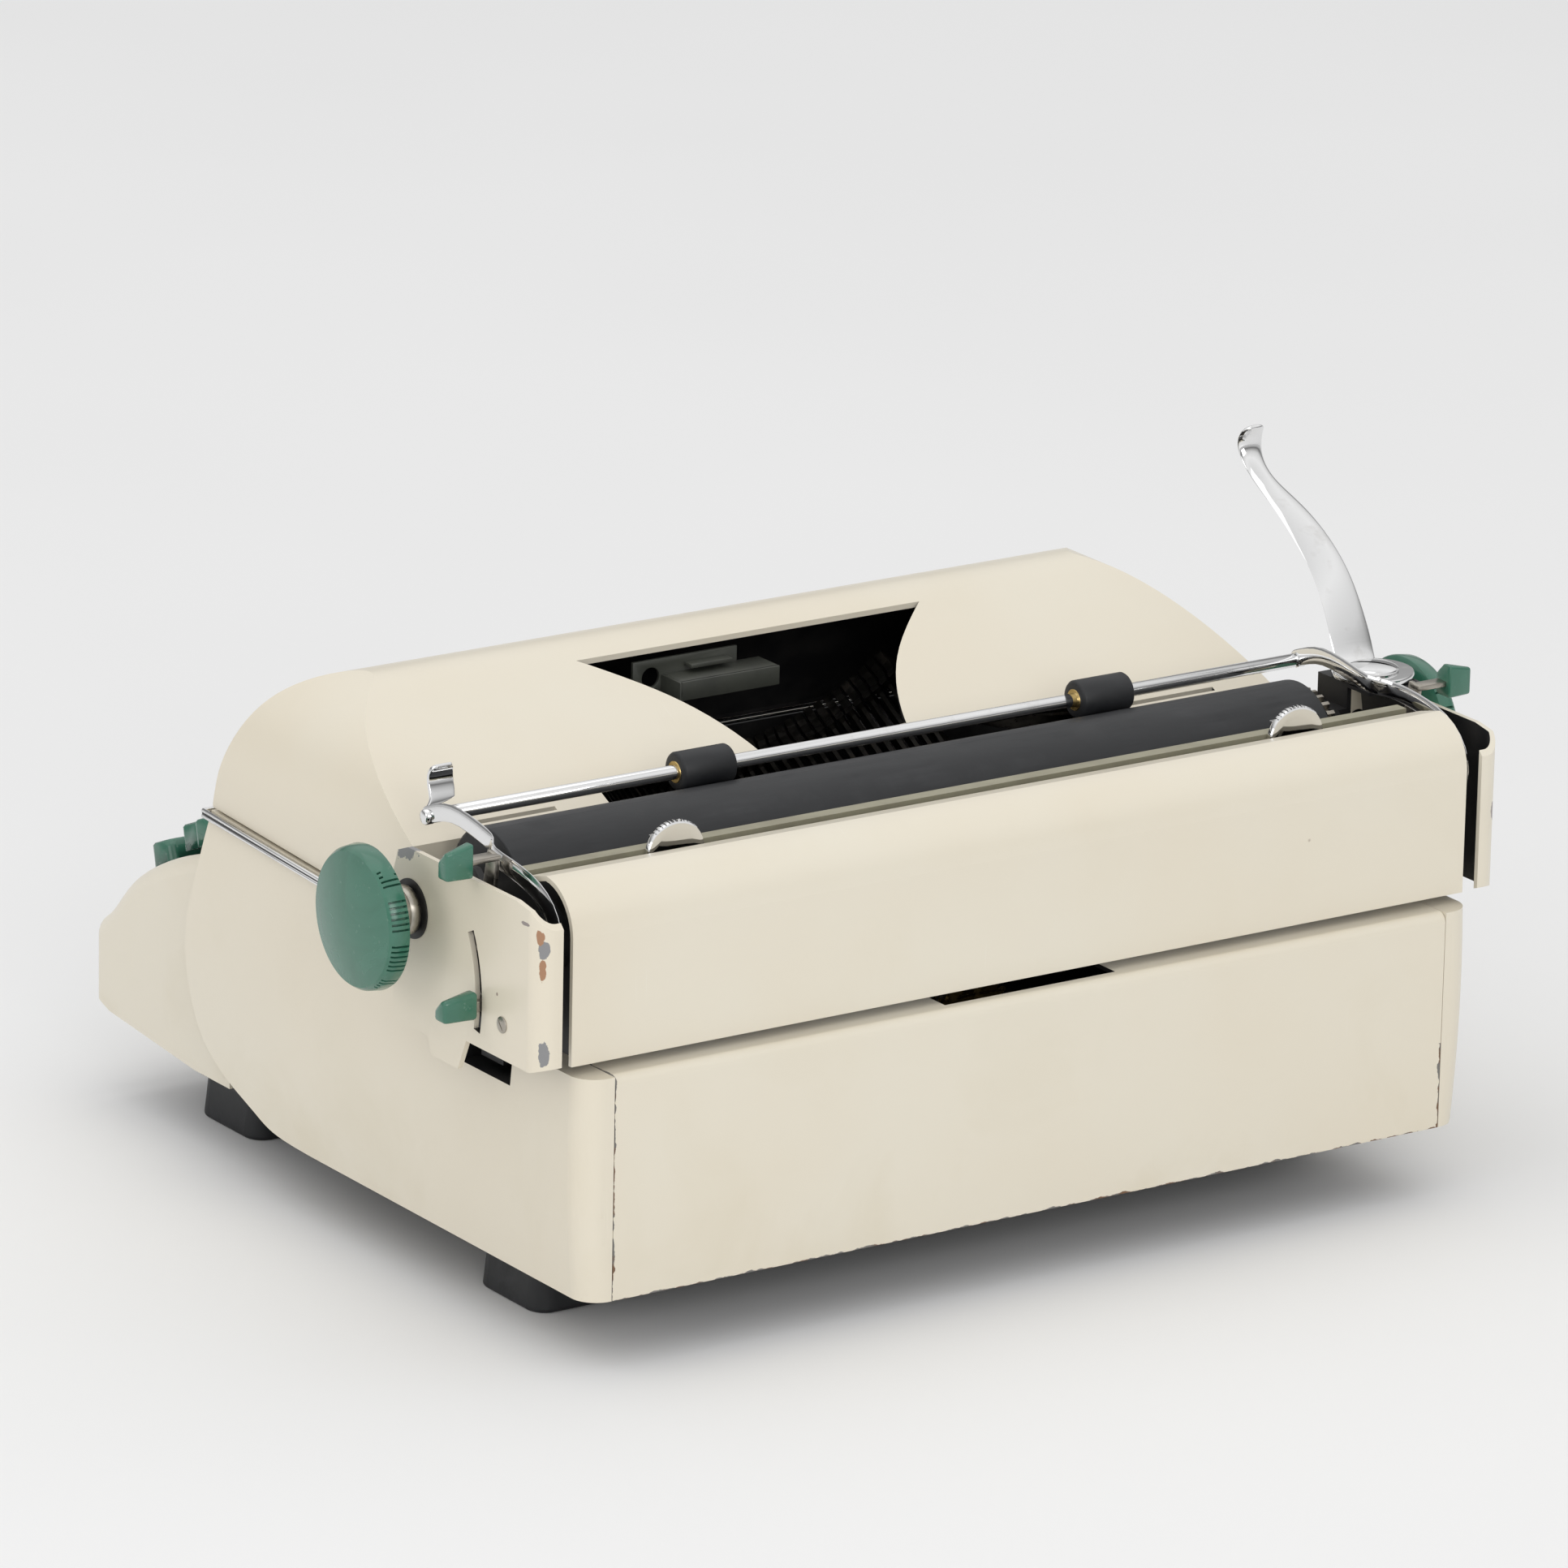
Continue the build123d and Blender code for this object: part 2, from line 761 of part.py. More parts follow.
with BuildPart() as escapement_bracket:
    bracket_line = [(-16, under_z + sheet), (16, under_z + sheet), (8, 76), (-8, 76)]
    extrude(flat(bracket_line, front_plane(99.6)), amount=1.6)
    hole = rod((0, 95, pinion_z), (0, 105, pinion_z), arbor_r + run)
    add(hole, mode=Mode.SUBTRACT)
save(escapement_bracket.part, "escapement_bracket")


def toothed_wheel(plane, root, tip, teeth, width):
    """Sketch of a wheel with straight-sided teeth, width wide at the root."""
    with BuildSketch(plane) as wheel:
        Circle(root)
        high = tip - root + 0.4
        with PolarLocations(root - 0.4, teeth):
            Polygon((0, -width / 2), (high, -width / 4), (high, width / 4), (0, width / 2), align=None)
    return wheel.sketch


with BuildPart() as escapement_wheel:
    pinion_plane = Plane(origin=(0, rack_y[0], pinion_z), x_dir=(0, 0, 1), z_dir=(0, 1, 0))
    extrude(toothed_wheel(pinion_plane, pinion_r - 1.25, pinion_r + 0.9, pinion_teeth, 1.5), amount=2.8)
    star_plane = Plane(origin=(0, wheel_y[0], pinion_z), x_dir=(0, 0, 1), z_dir=(0, 1, 0))
    extrude(toothed_wheel(star_plane, wheel_r - 2.0, wheel_r, wheel_teeth, 1.6), amount=1.2)
    add(rod((0, rack_y[0], pinion_z), (0, wheel_y[1] + 1.5, pinion_z), arbor_r))
save(escapement_wheel.part, "escapement_wheel")

drum_r = 18.0
drum_z = (46.0, 66.0)

with BuildPart() as mainspring_drum:
    with BuildSketch(Plane.XY.offset(drum_z[0])):
        with Locations(drum_centre):
            Circle(drum_r)
    extrude(amount=drum_z[1] - drum_z[0])
    rims = mainspring_drum.edges().filter_by(GeomType.CIRCLE)
    fillet(rims, radius=1.0)
    with BuildSketch(Plane.XY.offset(drum_z[0] - 1)):
        with Locations(drum_centre):
            Circle(drum_post_r + run)
    extrude(amount=40, mode=Mode.SUBTRACT)
save(mainspring_drum.part, "mainspring_drum")

with BuildPart() as bell:
    bell_plane = Plane(origin=(98, 112, 0), x_dir=(1, 0, 0), z_dir=(0, -1, 0))
    with BuildSketch(bell_plane):
        with BuildLine():
            Polyline(
                (1.2, 60),
                (1.2, under_z + sheet),
                (2.5, under_z + sheet),
                (2.5, 58.5),
                (14.0, 46.0),
                (15.4, 46.0),
            )
            ThreePointArc((15.4, 46.0), (11.0, 56.6), (1.2, 60))
        make_face()
    revolve(axis=Axis((98, 112, 0), (0, 0, 1)))
save(bell.part, "bell")

# ---------------- carriage frame ----------------

bracket_line = [
    (57.0, 81.5),
    (97.0, 81.5),
    (99.0, 86.5),
    (127.0, 86.5),
    (127.0, 118.0),
    (107.0, 128.6),
    (97.0, 128.6),
    (80.0, 122.0),
    (76.0, 125.5),
    (62.0, 125.5),
    (57.0, 119.0),
]
truck_z = (74.2, 81.5)
feed_rollers = {"front": (54.3, 97.4), "rear": (73.0, 92.3)}
feed_r = 4.0
feed_shaft_r = 1.5
stud_r = 2.0
release_pivot = (94.0, 112.0)
paper_pivot = (60.0, 98.0)
web_x = (147.6, 149.0)   # upright web under the seat of the return lever
lever_seat_z = (131.6, lever_base_z - 0.35)
lever_screw_r = 3.0

with BuildPart() as carriage_frame:
    for start in (bracket_in, -bracket_out):
        extrude(flat(bracket_line, side_plane(start)), amount=bracket_out - bracket_in)
    truck = block((-bracket_out, bracket_out), (rail_y[0] + 0.5, rail_y[1] - 0.5), truck_z)
    add(truck)
    add(rod((-150, platen_y, platen_z), (150, platen_y, platen_z), shaft_r + run), mode=Mode.SUBTRACT)
    for place in feed_rollers.values():
        add(rod((-150, *place), (150, *place), feed_shaft_r + run), mode=Mode.SUBTRACT)
    for side in (-1, 1):
        add(rod((side * bracket_out, *bail_pivot), (side * 151.6, *bail_pivot), stud_r))
        add(rod((side * bracket_out, *release_pivot), (side * 154.6, *release_pivot), stud_r))
    add(rod((bracket_out, *paper_pivot), (157.4, *paper_pivot), stud_r))
    add(block((-web_x[1], -bracket_out), (62.0, 76.0), (120.0, 125.4)))
    add(block((-web_x[1], -web_x[0]), (62.0, 76.0), (120.0, lever_seat_z[0])))
    add(block((-167.0, -web_x[0]), (62.0, 86.0), lever_seat_z))
    add(rod((lever_x, lever_y, 120), (lever_x, lever_y, 140), lever_screw_r), mode=Mode.SUBTRACT)
save(carriage_frame.part, "carriage_frame")

rack_length = 2 * carriage_travel + 26
rack_teeth = int(rack_length / tooth)

with BuildPart() as carriage_rack:
    with BuildSketch(front_plane(rack_y[0])):
        with Locations((0, (rack_line - 0.9 + 80.5) / 2)):
            Rectangle(rack_teeth * tooth, 80.5 - rack_line + 0.9)
        with GridLocations(tooth, 1, rack_teeth + 1, 1):
            with Locations((0, rack_line - 1.0)):
                Trapezoid(2.6, 2.4, 80, align=(Align.CENTER, Align.MIN), mode=Mode.SUBTRACT)
    extrude(amount=rack_y[1] - rack_y[0])
    for side in (-1, 1):
        tie = sorted((side * 100.0, side * 112.0))
        add(block(tie, (rail_y[1] - 0.5, rack_y[0]), (78.5, 80.5)))
save(carriage_rack.part, "carriage_rack")

# ---------------- end plates ----------------

plate_sheet = 1.5
plate_line = [
    (60.0, 81.5),
    (78.0, 81.5),
    (79.5, 76.5),
    (93.0, 76.5),
    (97.0, 85.5),
    (128.0, 85.5),
    (132.5, 87.0),
    (132.5, 125.5),
    (127.5, 130.5),
    (121.0, 131.6),
    (67.0, 131.6),
    (62.0, 129.6),
    (60.0, 124.0),
]
plate_rear_y = 132.5
slot_radius = 43.0       # curved slot for the pin of the paper release
slot_half = 1.6
slot_turn = (-11, 37)    # where the slot starts and how far it turns, degrees
collar_hole_r = 6.6
screw_place = (114.7, 95.2)
plate_screw_r = 1.6


def plate_core(wall):
    """Block with a round rear corner, a wall in from the faces of the right end plate."""
    with BuildPart() as made:
        add(block((140, plate_outer - wall), (0, plate_rear_y - wall), (0, 200)))
        corner = made.edges().filter_by(Axis.Z).sort_by(Axis.Y)[-2:].sort_by(Axis.X)[-1]
        fillet(corner, radius=6.0 - wall)
    return made.part


def end_plate(with_slot):
    """Right end plate: outer wall and rear flange, with its holes."""
    with BuildPart() as made:
        extrude(flat(plate_line, side_plane(plate_inner)), amount=plate_outer - plate_inner)
        add(plate_core(0), mode=Mode.INTERSECT)
        add(plate_core(plate_sheet), mode=Mode.SUBTRACT)
        add(rod((150, platen_y, platen_z), (165, platen_y, platen_z), collar_hole_r), mode=Mode.SUBTRACT)
        if with_slot:
            with BuildSketch(side_plane(150)):
                with BuildLine():
                    near = CenterArc(paper_pivot, slot_radius - slot_half, *slot_turn)
                    far = CenterArc(paper_pivot, slot_radius + slot_half, *slot_turn)
                    Line(near @ 0, far @ 0)
                    Line(near @ 1, far @ 1)
                make_face()
            extrude(amount=20, mode=Mode.SUBTRACT)
            add(rod((150, *screw_place), (165, *screw_place), plate_screw_r), mode=Mode.SUBTRACT)
    return made.part


save(end_plate(True), "end_plate_right")
save(mirror(end_plate(False), about=Plane.YZ), "end_plate_left")

# ---------------- rear cover, margin rail and paper tray ----------------

with BuildPart() as rear_cover:
    with BuildSketch(side_plane(-cover_half)):
        with BuildLine():
            Line((131.0, 86.0), (131.0, 121.5))
            ThreePointArc((131.0, 121.5), (127.0, 131.2), (117.5, 135.6))
            Polyline((117.5, 135.6), (108.6, 133.2), (109.0, 131.9), (117.4, 134.2))
            ThreePointArc((117.4, 134.2), (126.0, 130.2), (129.6, 121.4))
            Polyline((129.6, 121.4), (129.6, 86.0), (131.0, 86.0))
        make_face()
    extrude(amount=2 * cover_half)
    for side in (-1, 1):
        tab = sorted((side * bracket_in, side * (bracket_in - 20)))
        add(block(tab, (127.0, 129.6), (88.0, 112.0)))
save(rear_cover.part, "rear_cover")

rail_top = 133.0
margin_rail_y = (98.6, 104.2)
margin_rail_z = (129.2, rail_top)

with BuildPart() as margin_rail:
    with BuildSketch(side_plane(-147.0)):
        with BuildLine():
            Polyline(
                (margin_rail_y[0], margin_rail_z[0]),
                (margin_rail_y[1], margin_rail_z[0]),
                (margin_rail_y[1], margin_rail_z[1]),
                (margin_rail_y[0] + 1.4, margin_rail_z[1]),
                (margin_rail_y[0], margin_rail_z[1] - 1.2),
                close=True,
            )
        make_face()
    extrude(amount=294)
save(margin_rail.part, "margin_rail")

stop_places = {"right": 100.0, "left": -107.0}
stop_r = 9.4

for side, x in stop_places.items():
    with BuildPart() as stop:
        with BuildSketch(front_plane(104.5)):
            with Locations((-x, 129.7)):
                Circle(stop_r)
            with Locations((-x, 129.7 - stop_r + 2)):
                Rectangle(30, 2 * stop_r, mode=Mode.SUBTRACT)
        extrude(amount=2.6)
        rim = stop.edges().filter_by(GeomType.CIRCLE)
        fillet(rim, radius=0.8)
        add(block((x - 6, x + 6), (97.4, 104.6), (rail_top + 0.35, rail_top + 1.8)))
    save(stop.part, f"margin_stop_{side}")

tray_gap = 0.9
tray_turn = (-62, 96)    # where the tray starts and how far it wraps, degrees

with BuildPart() as paper_tray:
    with BuildSketch(side_plane(-platen_half + 1)):
        with BuildLine():
            near = CenterArc((platen_y, platen_z), platen_r + tray_gap, *tray_turn)
            far = CenterArc((platen_y, platen_z), platen_r + tray_gap + 1, *tray_turn)
            Line(near @ 0, far @ 0)
            Line(near @ 1, far @ 1)
        make_face()
    extrude(amount=2 * platen_half - 2)
    for side in (-1, 1):
        lug = sorted((side * (platen_half - 1), side * bracket_in))
        add(block(lug, (88.6, 92.0), (108, 120)))
save(paper_tray.part, "paper_tray")

# ---------------- platen ----------------

with BuildPart() as platen_roller:
    add(rod((-platen_half, platen_y, platen_z), (platen_half, platen_y, platen_z), platen_r))
    fillet(platen_roller.edges().filter_by(GeomType.CIRCLE), radius=0.8)
    add(rod((-140, platen_y, platen_z), (140, platen_y, platen_z), shaft_r), mode=Mode.SUBTRACT)
save(platen_roller.part, "platen_roller")

ratchet_x = (-140.6, -138.0)

with BuildPart() as platen_shaft:
    add(rod((-knob_in, platen_y, platen_z), (knob_in, platen_y, platen_z), shaft_r))
    for side in (-1, 1):
        collar = ((side * (plate_outer + 0.8), platen_y, platen_z), (side * knob_in, platen_y, platen_z))
        add(rod(*collar, 6.0))
    ratchet_plane = Plane(origin=(ratchet_x[0], platen_y, platen_z), x_dir=(0, 1, 0), z_dir=(1, 0, 0))
    extrude(toothed_wheel(ratchet_plane, 13.6, 15.6, 30, 2.2), amount=ratchet_x[1] - ratchet_x[0])
save(platen_shaft.part, "platen_shaft")

knob_face_r = 18.5
crown = knob_out - 178.7
crown_r = (knob_face_r**2 + crown**2) / (2 * crown)
crown_mid = crown_r - (crown_r**2 - (knob_face_r / 2) ** 2) ** 0.5

for side, sign in (("right", 1), ("left", -1)):
    with BuildPart() as knob:
        knob_plane = Plane(origin=(0, platen_y, platen_z), x_dir=(sign, 0, 0), z_dir=(0, -sign, 0))
        with BuildSketch(knob_plane):
            with BuildLine():
                Polyline(
                    (knob_out, 0),
                    (knob_in, 0),
                    (knob_in, 10.0),
                    (170.5, 12.5),
                    (172.5, knob_r - 1.0),
                    (173.7, knob_r),
                    (177.0, knob_r - 0.5),
                    (178.7, knob_face_r),
                )
                ThreePointArc((178.7, knob_face_r), (knob_out - crown_mid, knob_face_r / 2), (knob_out, 0))
            make_face()
        revolve(axis=Axis((0, platen_y, platen_z), (1, 0, 0)))
    save(knob.part, f"knob_{side}")

for name, place in feed_rollers.items():
    with BuildPart() as feed:
        add(rod((-bracket_out, *place), (bracket_out, *place), feed_shaft_r))
        for middle in (-90.0, -30.0, 30.0, 90.0):
            add(rod((middle - 16, *place), (middle + 16, *place), feed_r))
    save(feed.part, f"feed_roller_{name}")

# ---------------- paper bail ----------------

arm_front_x = (145.0, 146.4)
arm_rear_x = (150.0, 151.4)
arm_step_y = (88.0, 93.0)

with BuildPart() as bail_bar:
    add(rod((-arm_front_x[0], *bail_rod), (arm_front_x[0], *bail_rod), bail_rod_r))
save(bail_bar.part, "bail_bar")

arm_profile = [
    (52.4, 132.6),
    (52.4, 137.0),
    (62.7, 141.0),
    (70.0, 141.9),
    (85.0, 138.8),
    (100.0, 137.6),
    (117.0, 136.4),
    (124.0, 133.9),
    (128.6, 129.6),
    (130.4, 121.1),
    (123.0, 108.4),
    (117.0, 108.4),
    (120.6, 121.0),
    (117.0, 127.6),
    (108.0, 130.9),
    (90.0, 132.6),
    (70.0, 135.6),
    (62.0, 135.4),
    (57.4, 132.2),
]


lift_tab = [
    (52.4, 136.6),
    (54.4, 136.6),
    (51.5, 142.0),
    (52.2, 148.0),
    (50.4, 148.0),
    (49.4, 142.0),
]


def bail_arm(sign):
    """One arm of the bail: flat strip that steps outwards behind the platen."""
    step = arm_rear_x[1] - arm_front_x[1]
    plan = [
        (arm_front_x[0], 50),
        (arm_front_x[1], 50),
        (arm_front_x[1], arm_step_y[0]),
        (arm_rear_x[1], arm_step_y[1]),
        (arm_rear_x[1], 140),
        (arm_rear_x[0], 140),
        (arm_rear_x[0], arm_step_y[1] + 0.8),
        (arm_front_x[0], arm_step_y[0] + 0.8),
    ]
    with BuildPart() as made:
        extrude(flat(arm_profile, side_plane(140)), amount=step + 10)
        extrude(flat(plan, Plane.XY.offset(90)), amount=80, mode=Mode.INTERSECT)
        add(rod((140, *bail_pivot), (160, *bail_pivot), stud_r + run), mode=Mode.SUBTRACT)
        if sign > 0:
            extrude(flat(lift_tab, side_plane(arm_front_x[1])), amount=-8.4)
    if sign < 0:
        return mirror(made.part, about=Plane.YZ)
    return made.part


with BuildPart() as bail_arms:
    add(bail_arm(1))
    add(bail_arm(-1))
save(bail_arms.part, "bail_arms")

for side, x in bail_roller_places.items():
    with BuildPart() as roller:
        half = bail_roller_width / 2
        add(rod((x - half, *bail_rod), (x + half, *bail_rod), bail_roller_r))
        fillet(roller.edges().filter_by(GeomType.CIRCLE), radius=0.5)
        add(rod((x - 20, *bail_rod), (x + 20, *bail_rod), bail_rod_r + run), mode=Mode.SUBTRACT)
    save(roller.part, f"bail_roller_{side}")

# ---------------- return lever ----------------

blade_path = [
    (63.5, lever_base_z + 1.0),
    (60.0, 145.0),
    (53.5, 156.0),
    (44.0, 164.6),
    (32.0, 171.0),
    (20.0, 175.4),
    (12.0, 180.2),
    (9.2, 186.4),
    (12.6, 192.0),
]

with BuildPart() as return_lever:
    with BuildSketch(Plane.XY.offset(lever_base_z)):
        with Locations((lever_x, lever_y)):
            Circle(11.0)
        with Locations((lever_x, lever_y - 5)):
            Rectangle(14.4, 12)
    extrude(amount=lever_sheet)
    with BuildSketch(side_plane(lever_x - 6.5)):
        with BuildLine():
            Spline(*blade_path, tangents=[(-0.4, 1), (0.5, 1)])
        trace(line_width=lever_sheet)
    extrude(amount=13)
    screw_hole = rod((lever_x, lever_y, 120), (lever_x, lever_y, 140), lever_screw_r + run)
    add(screw_hole, mode=Mode.SUBTRACT)
save(return_lever.part, "return_lever")

with BuildPart() as carriage_screws:
    add(rod((lever_x, lever_y, lever_seat_z[0]), (lever_x, lever_y, lever_base_z + 2.2), lever_screw_r))
    add(rod((lever_x, lever_y, lever_base_z + 2.1), (lever_x, lever_y, lever_base_z + 4.0), 7.25))
    driver_slot = block((lever_x - 9, lever_x + 9), (lever_y - 0.6, lever_y + 0.6), (lever_base_z + 3, 140))
    add(driver_slot, mode=Mode.SUBTRACT)
    add(rod((bracket_out, *screw_place), (plate_outer, *screw_place), plate_screw_r))
    add(rod((plate_outer, *screw_place), (plate_outer + 1.0, *screw_place), 2.6))
    slot_z = (screw_place[1] - 0.4, screw_place[1] + 0.4)
    add(block((plate_outer + 0.5, plate_outer + 2), (110, 120), slot_z), mode=Mode.SUBTRACT)
save(carriage_screws.part, "carriage_screws")

# ---------------- release levers ----------------

for side, sign in (("right", 1), ("left", -1)):
    with BuildPart() as release:
        arm_line = [(90.5, 108.5), (97.5, 108.5), (102.0, 134.6), (97.5, 134.6)]
        extrude(flat(arm_line, side_plane(152.8)), amount=1.5)
        add(block((152.8, 162.0), (97.5, 102.0), (133.2, 134.6)))
        add(rod((150, *release_pivot), (160, *release_pivot), stud_r + run), mode=Mode.SUBTRACT)
        add(grip_block((161.6, 172.0), (96.8, 104.0), (128.0, 140.0), 2.0))
    made = release.part if sign > 0 else mirror(release.part, about=Plane.YZ)
    save(made, f"carriage_release_{side}")

with BuildPart() as paper_release:
    arm_line = [
        (56.5, 94.5),
        (56.5, 101.5),
        (63.0, 101.5),
        (101.6, 98.4),
        (104.4, 98.4),
        (104.4, 95.0),
        (63.0, 94.5),
    ]
    extrude(flat(arm_line, side_plane(155.0)), amount=1.6)
    add(rod((150, *paper_pivot), (160, *paper_pivot), stud_r + run), mode=Mode.SUBTRACT)
    add(block((155.0, 163.0), (102.0, 104.0), (95.2, 98.2)))
    add(grip_block((162.0, 173.0), (98.5, 107.0), (91.5, 100.0), 2.4))
save(paper_release.part, "paper_release")
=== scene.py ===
import bpy
import bmesh
import json
import math
from mathutils import Vector, Matrix


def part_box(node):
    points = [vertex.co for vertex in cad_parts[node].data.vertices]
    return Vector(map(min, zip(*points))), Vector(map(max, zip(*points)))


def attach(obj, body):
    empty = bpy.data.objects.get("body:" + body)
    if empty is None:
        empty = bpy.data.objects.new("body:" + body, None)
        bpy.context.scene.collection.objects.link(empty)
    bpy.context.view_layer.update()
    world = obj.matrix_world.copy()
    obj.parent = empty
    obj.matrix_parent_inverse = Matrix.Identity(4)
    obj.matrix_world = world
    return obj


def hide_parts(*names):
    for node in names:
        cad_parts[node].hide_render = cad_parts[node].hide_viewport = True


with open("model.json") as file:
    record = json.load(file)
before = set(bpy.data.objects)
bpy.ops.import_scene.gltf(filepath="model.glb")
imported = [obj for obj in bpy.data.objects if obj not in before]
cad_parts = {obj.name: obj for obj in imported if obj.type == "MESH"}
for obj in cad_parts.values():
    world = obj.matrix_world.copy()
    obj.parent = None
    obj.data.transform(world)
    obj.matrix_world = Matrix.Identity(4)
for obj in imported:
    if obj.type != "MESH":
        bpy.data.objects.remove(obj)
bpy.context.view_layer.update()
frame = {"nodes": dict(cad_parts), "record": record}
nodes = frame["nodes"]
mm = 0.001

print("typewriter: frame loaded with", len(nodes), "nodes")


def dropSelection():
    if bpy.context.object and bpy.context.object.mode != "OBJECT":
        bpy.ops.object.mode_set(mode="OBJECT")
    bpy.ops.object.select_all(action="DESELECT")


def useOnly(piece):
    dropSelection()
    piece.select_set(True)
    bpy.context.view_layer.objects.active = piece


def editWith(piece):
    useOnly(piece)
    bpy.ops.object.mode_set(mode="EDIT")


def bakePlace():
    bpy.ops.object.transform_apply(location=True, rotation=True, scale=True)


def leaveEdit():
    bpy.ops.object.mode_set(mode="OBJECT")


def pickFaces(piece, test):
    # selects the faces whose centre and normal pass the test, while in edit mode
    bpy.ops.mesh.select_mode(type="FACE")
    mesh = bmesh.from_edit_mesh(piece.data)
    for face in mesh.faces:
        face.select_set(bool(test(piece.matrix_world @ face.calc_center_median(), face.normal)))
    mesh.select_flush_mode()
    bmesh.update_edit_mesh(piece.data)


def pickEdges(piece, test):
    # selects the edges whose two ends pass the test, while in edit mode
    bpy.ops.mesh.select_mode(type="EDGE")
    mesh = bmesh.from_edit_mesh(piece.data)
    for edge in mesh.edges:
        ends = [piece.matrix_world @ vert.co for vert in edge.verts]
        edge.select_set(bool(test(*ends)))
    bmesh.update_edit_mesh(piece.data)


def addModifier(piece, kind, **settings):
    modifier = piece.modifiers.new(kind.title(), kind)
    for name, value in settings.items():
        setattr(modifier, name, value)
    useOnly(piece)
    bpy.ops.object.modifier_apply(modifier=modifier.name)


def roundEdges(piece, width, segments=2, angle=35):
    addModifier(piece, "BEVEL", width=width, segments=segments,
                limit_method="ANGLE", angle_limit=math.radians(angle))


def smoothFaces(piece, angle=35):
    useOnly(piece)
    bpy.ops.object.shade_smooth_by_angle(angle=math.radians(angle))


def settlePiece(piece, name, body, slot, stands=(), finish=None):
    # places the mesh in the frame, names the piece and hands it to its body
    useOnly(piece)
    bakePlace()
    piece.name = name
    piece.data.name = name
    piece.data.materials.clear()
    piece.data.materials.append(finishes[finish or slot])
    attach(piece, body)
    if stands:
        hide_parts(*stands)
    return piece


def joinPieces(pieces):
    dropSelection()
    for piece in pieces:
        piece.select_set(True)
    bpy.context.view_layer.objects.active = pieces[0]
    bpy.ops.object.join()
    return bpy.context.object


def cleanNormals(piece):
    editWith(piece)
    bpy.ops.mesh.select_all(action="SELECT")
    bpy.ops.mesh.remove_doubles(threshold=1e-6)
    bpy.ops.mesh.normals_make_consistent(inside=False)
    leaveEdit()


def inMetres(rings, sign=1):
    # rings from millimetres, on the operator's right for sign 1 and on the left for -1
    return [(sign * place * mm, radius * mm) for place, radius in rings]


def camelName(node):
    # rear_panel becomes rearPanel
    joined = node.title().replace("_", "")
    return joined[:1].lower() + joined[1:]


def turnedPiece(rings, centre, axis="X", sides=64):
    # grows a round piece ring by ring: each ring is (place along the axis, radius)
    place, radius = rings[0]
    turn = {"X": (0, math.pi / 2, 0), "Y": (-math.pi / 2, 0, 0), "Z": (0, 0, 0)}[axis]
    along = Vector({"X": (1, 0, 0), "Y": (0, 1, 0), "Z": (0, 0, 1)}[axis])
    start = Vector(centre) + along * place
    dropSelection()
    bpy.ops.mesh.primitive_circle_add(vertices=sides, radius=radius, fill_type="NGON",
                                      location=start, rotation=turn)
    piece = bpy.context.object
    bpy.ops.object.mode_set(mode="EDIT")
    bpy.ops.mesh.select_all(action="SELECT")
    for nextPlace, nextRadius in rings[1:]:
        step = along * (nextPlace - place)
        bpy.ops.mesh.extrude_region_move(TRANSFORM_OT_translate={"value": step})
        middle = Vector(centre) + along * nextPlace
        grow = nextRadius / radius
        bpy.ops.transform.resize(value=(grow, grow, grow), center_override=middle)
        place, radius = nextPlace, nextRadius
    leaveEdit()
    cleanNormals(piece)
    return piece


# shared effects for the finishes
def newGroup(name, inputs, outputs):
    group = bpy.data.node_groups.new(name, "ShaderNodeTree")
    for label, kind, value in inputs:
        socket = group.interface.new_socket(name=label, in_out="INPUT", socket_type=kind)
        socket.default_value = value
    for label, kind in outputs:
        group.interface.new_socket(name=label, in_out="OUTPUT", socket_type=kind)
    start = group.nodes.new("NodeGroupInput")
    end = group.nodes.new("NodeGroupOutput")
    return group, start, end


def setInputs(node, values):
    for label, value in values.items():
        node.inputs[label].default_value = value


def linkNodes(tree, *pairs):
    for source, target in pairs:
        tree.links.new(source, target)


def addMath(tree, operation, first, second=None, clamp=False):
    node = tree.nodes.new("ShaderNodeMath")
    node.operation = operation
    node.use_clamp = clamp
    for socket, value in zip(node.inputs, (first, second)):
        if value is None:
            continue
        if isinstance(value, bpy.types.NodeSocket):
            tree.links.new(value, socket)
        else:
            socket.default_value = value
    return node.outputs[0]


def addNoise(tree, vector, scale, detail=4, distortion=0.0):
    node = tree.nodes.new("ShaderNodeTexNoise")
    setInputs(node, {"Scale": scale, "Detail": detail, "Roughness": 0.55, "Distortion": distortion})
    tree.links.new(vector, node.inputs["Vector"])
    return node.outputs["Fac"]


def addRange(tree, value, low, high, toLow=0.0, toHigh=1.0):
    node = tree.nodes.new("ShaderNodeMapRange")
    setInputs(node, {"From Min": low, "From Max": high, "To Min": toLow, "To Max": toHigh})
    tree.links.new(value, node.inputs["Value"])
    return node.outputs["Result"]


def addMix(tree, amount, first, second):
    node = tree.nodes.new("ShaderNodeMix")
    node.data_type = "RGBA"
    for label, value in (("Factor", amount), ("A", first), ("B", second)):
        socket = node.inputs[label]
        if isinstance(value, bpy.types.NodeSocket):
            tree.links.new(value, socket)
        else:
            socket.default_value = value
    return node.outputs["Result"]


fleckLook = {
    "cells": 42.0, "fleckEdge": (0.035, 0.02),  # specks to the metre, and where a speck fades out
    "scratchTurn": (0.5, 0.9, 0.4), "scratchStretch": (900.0, 14.0, 14.0), "scratchEdge": (0.70, 0.74),
    "patches": 18.0, "patchEdge": (0.60, 0.66),
}


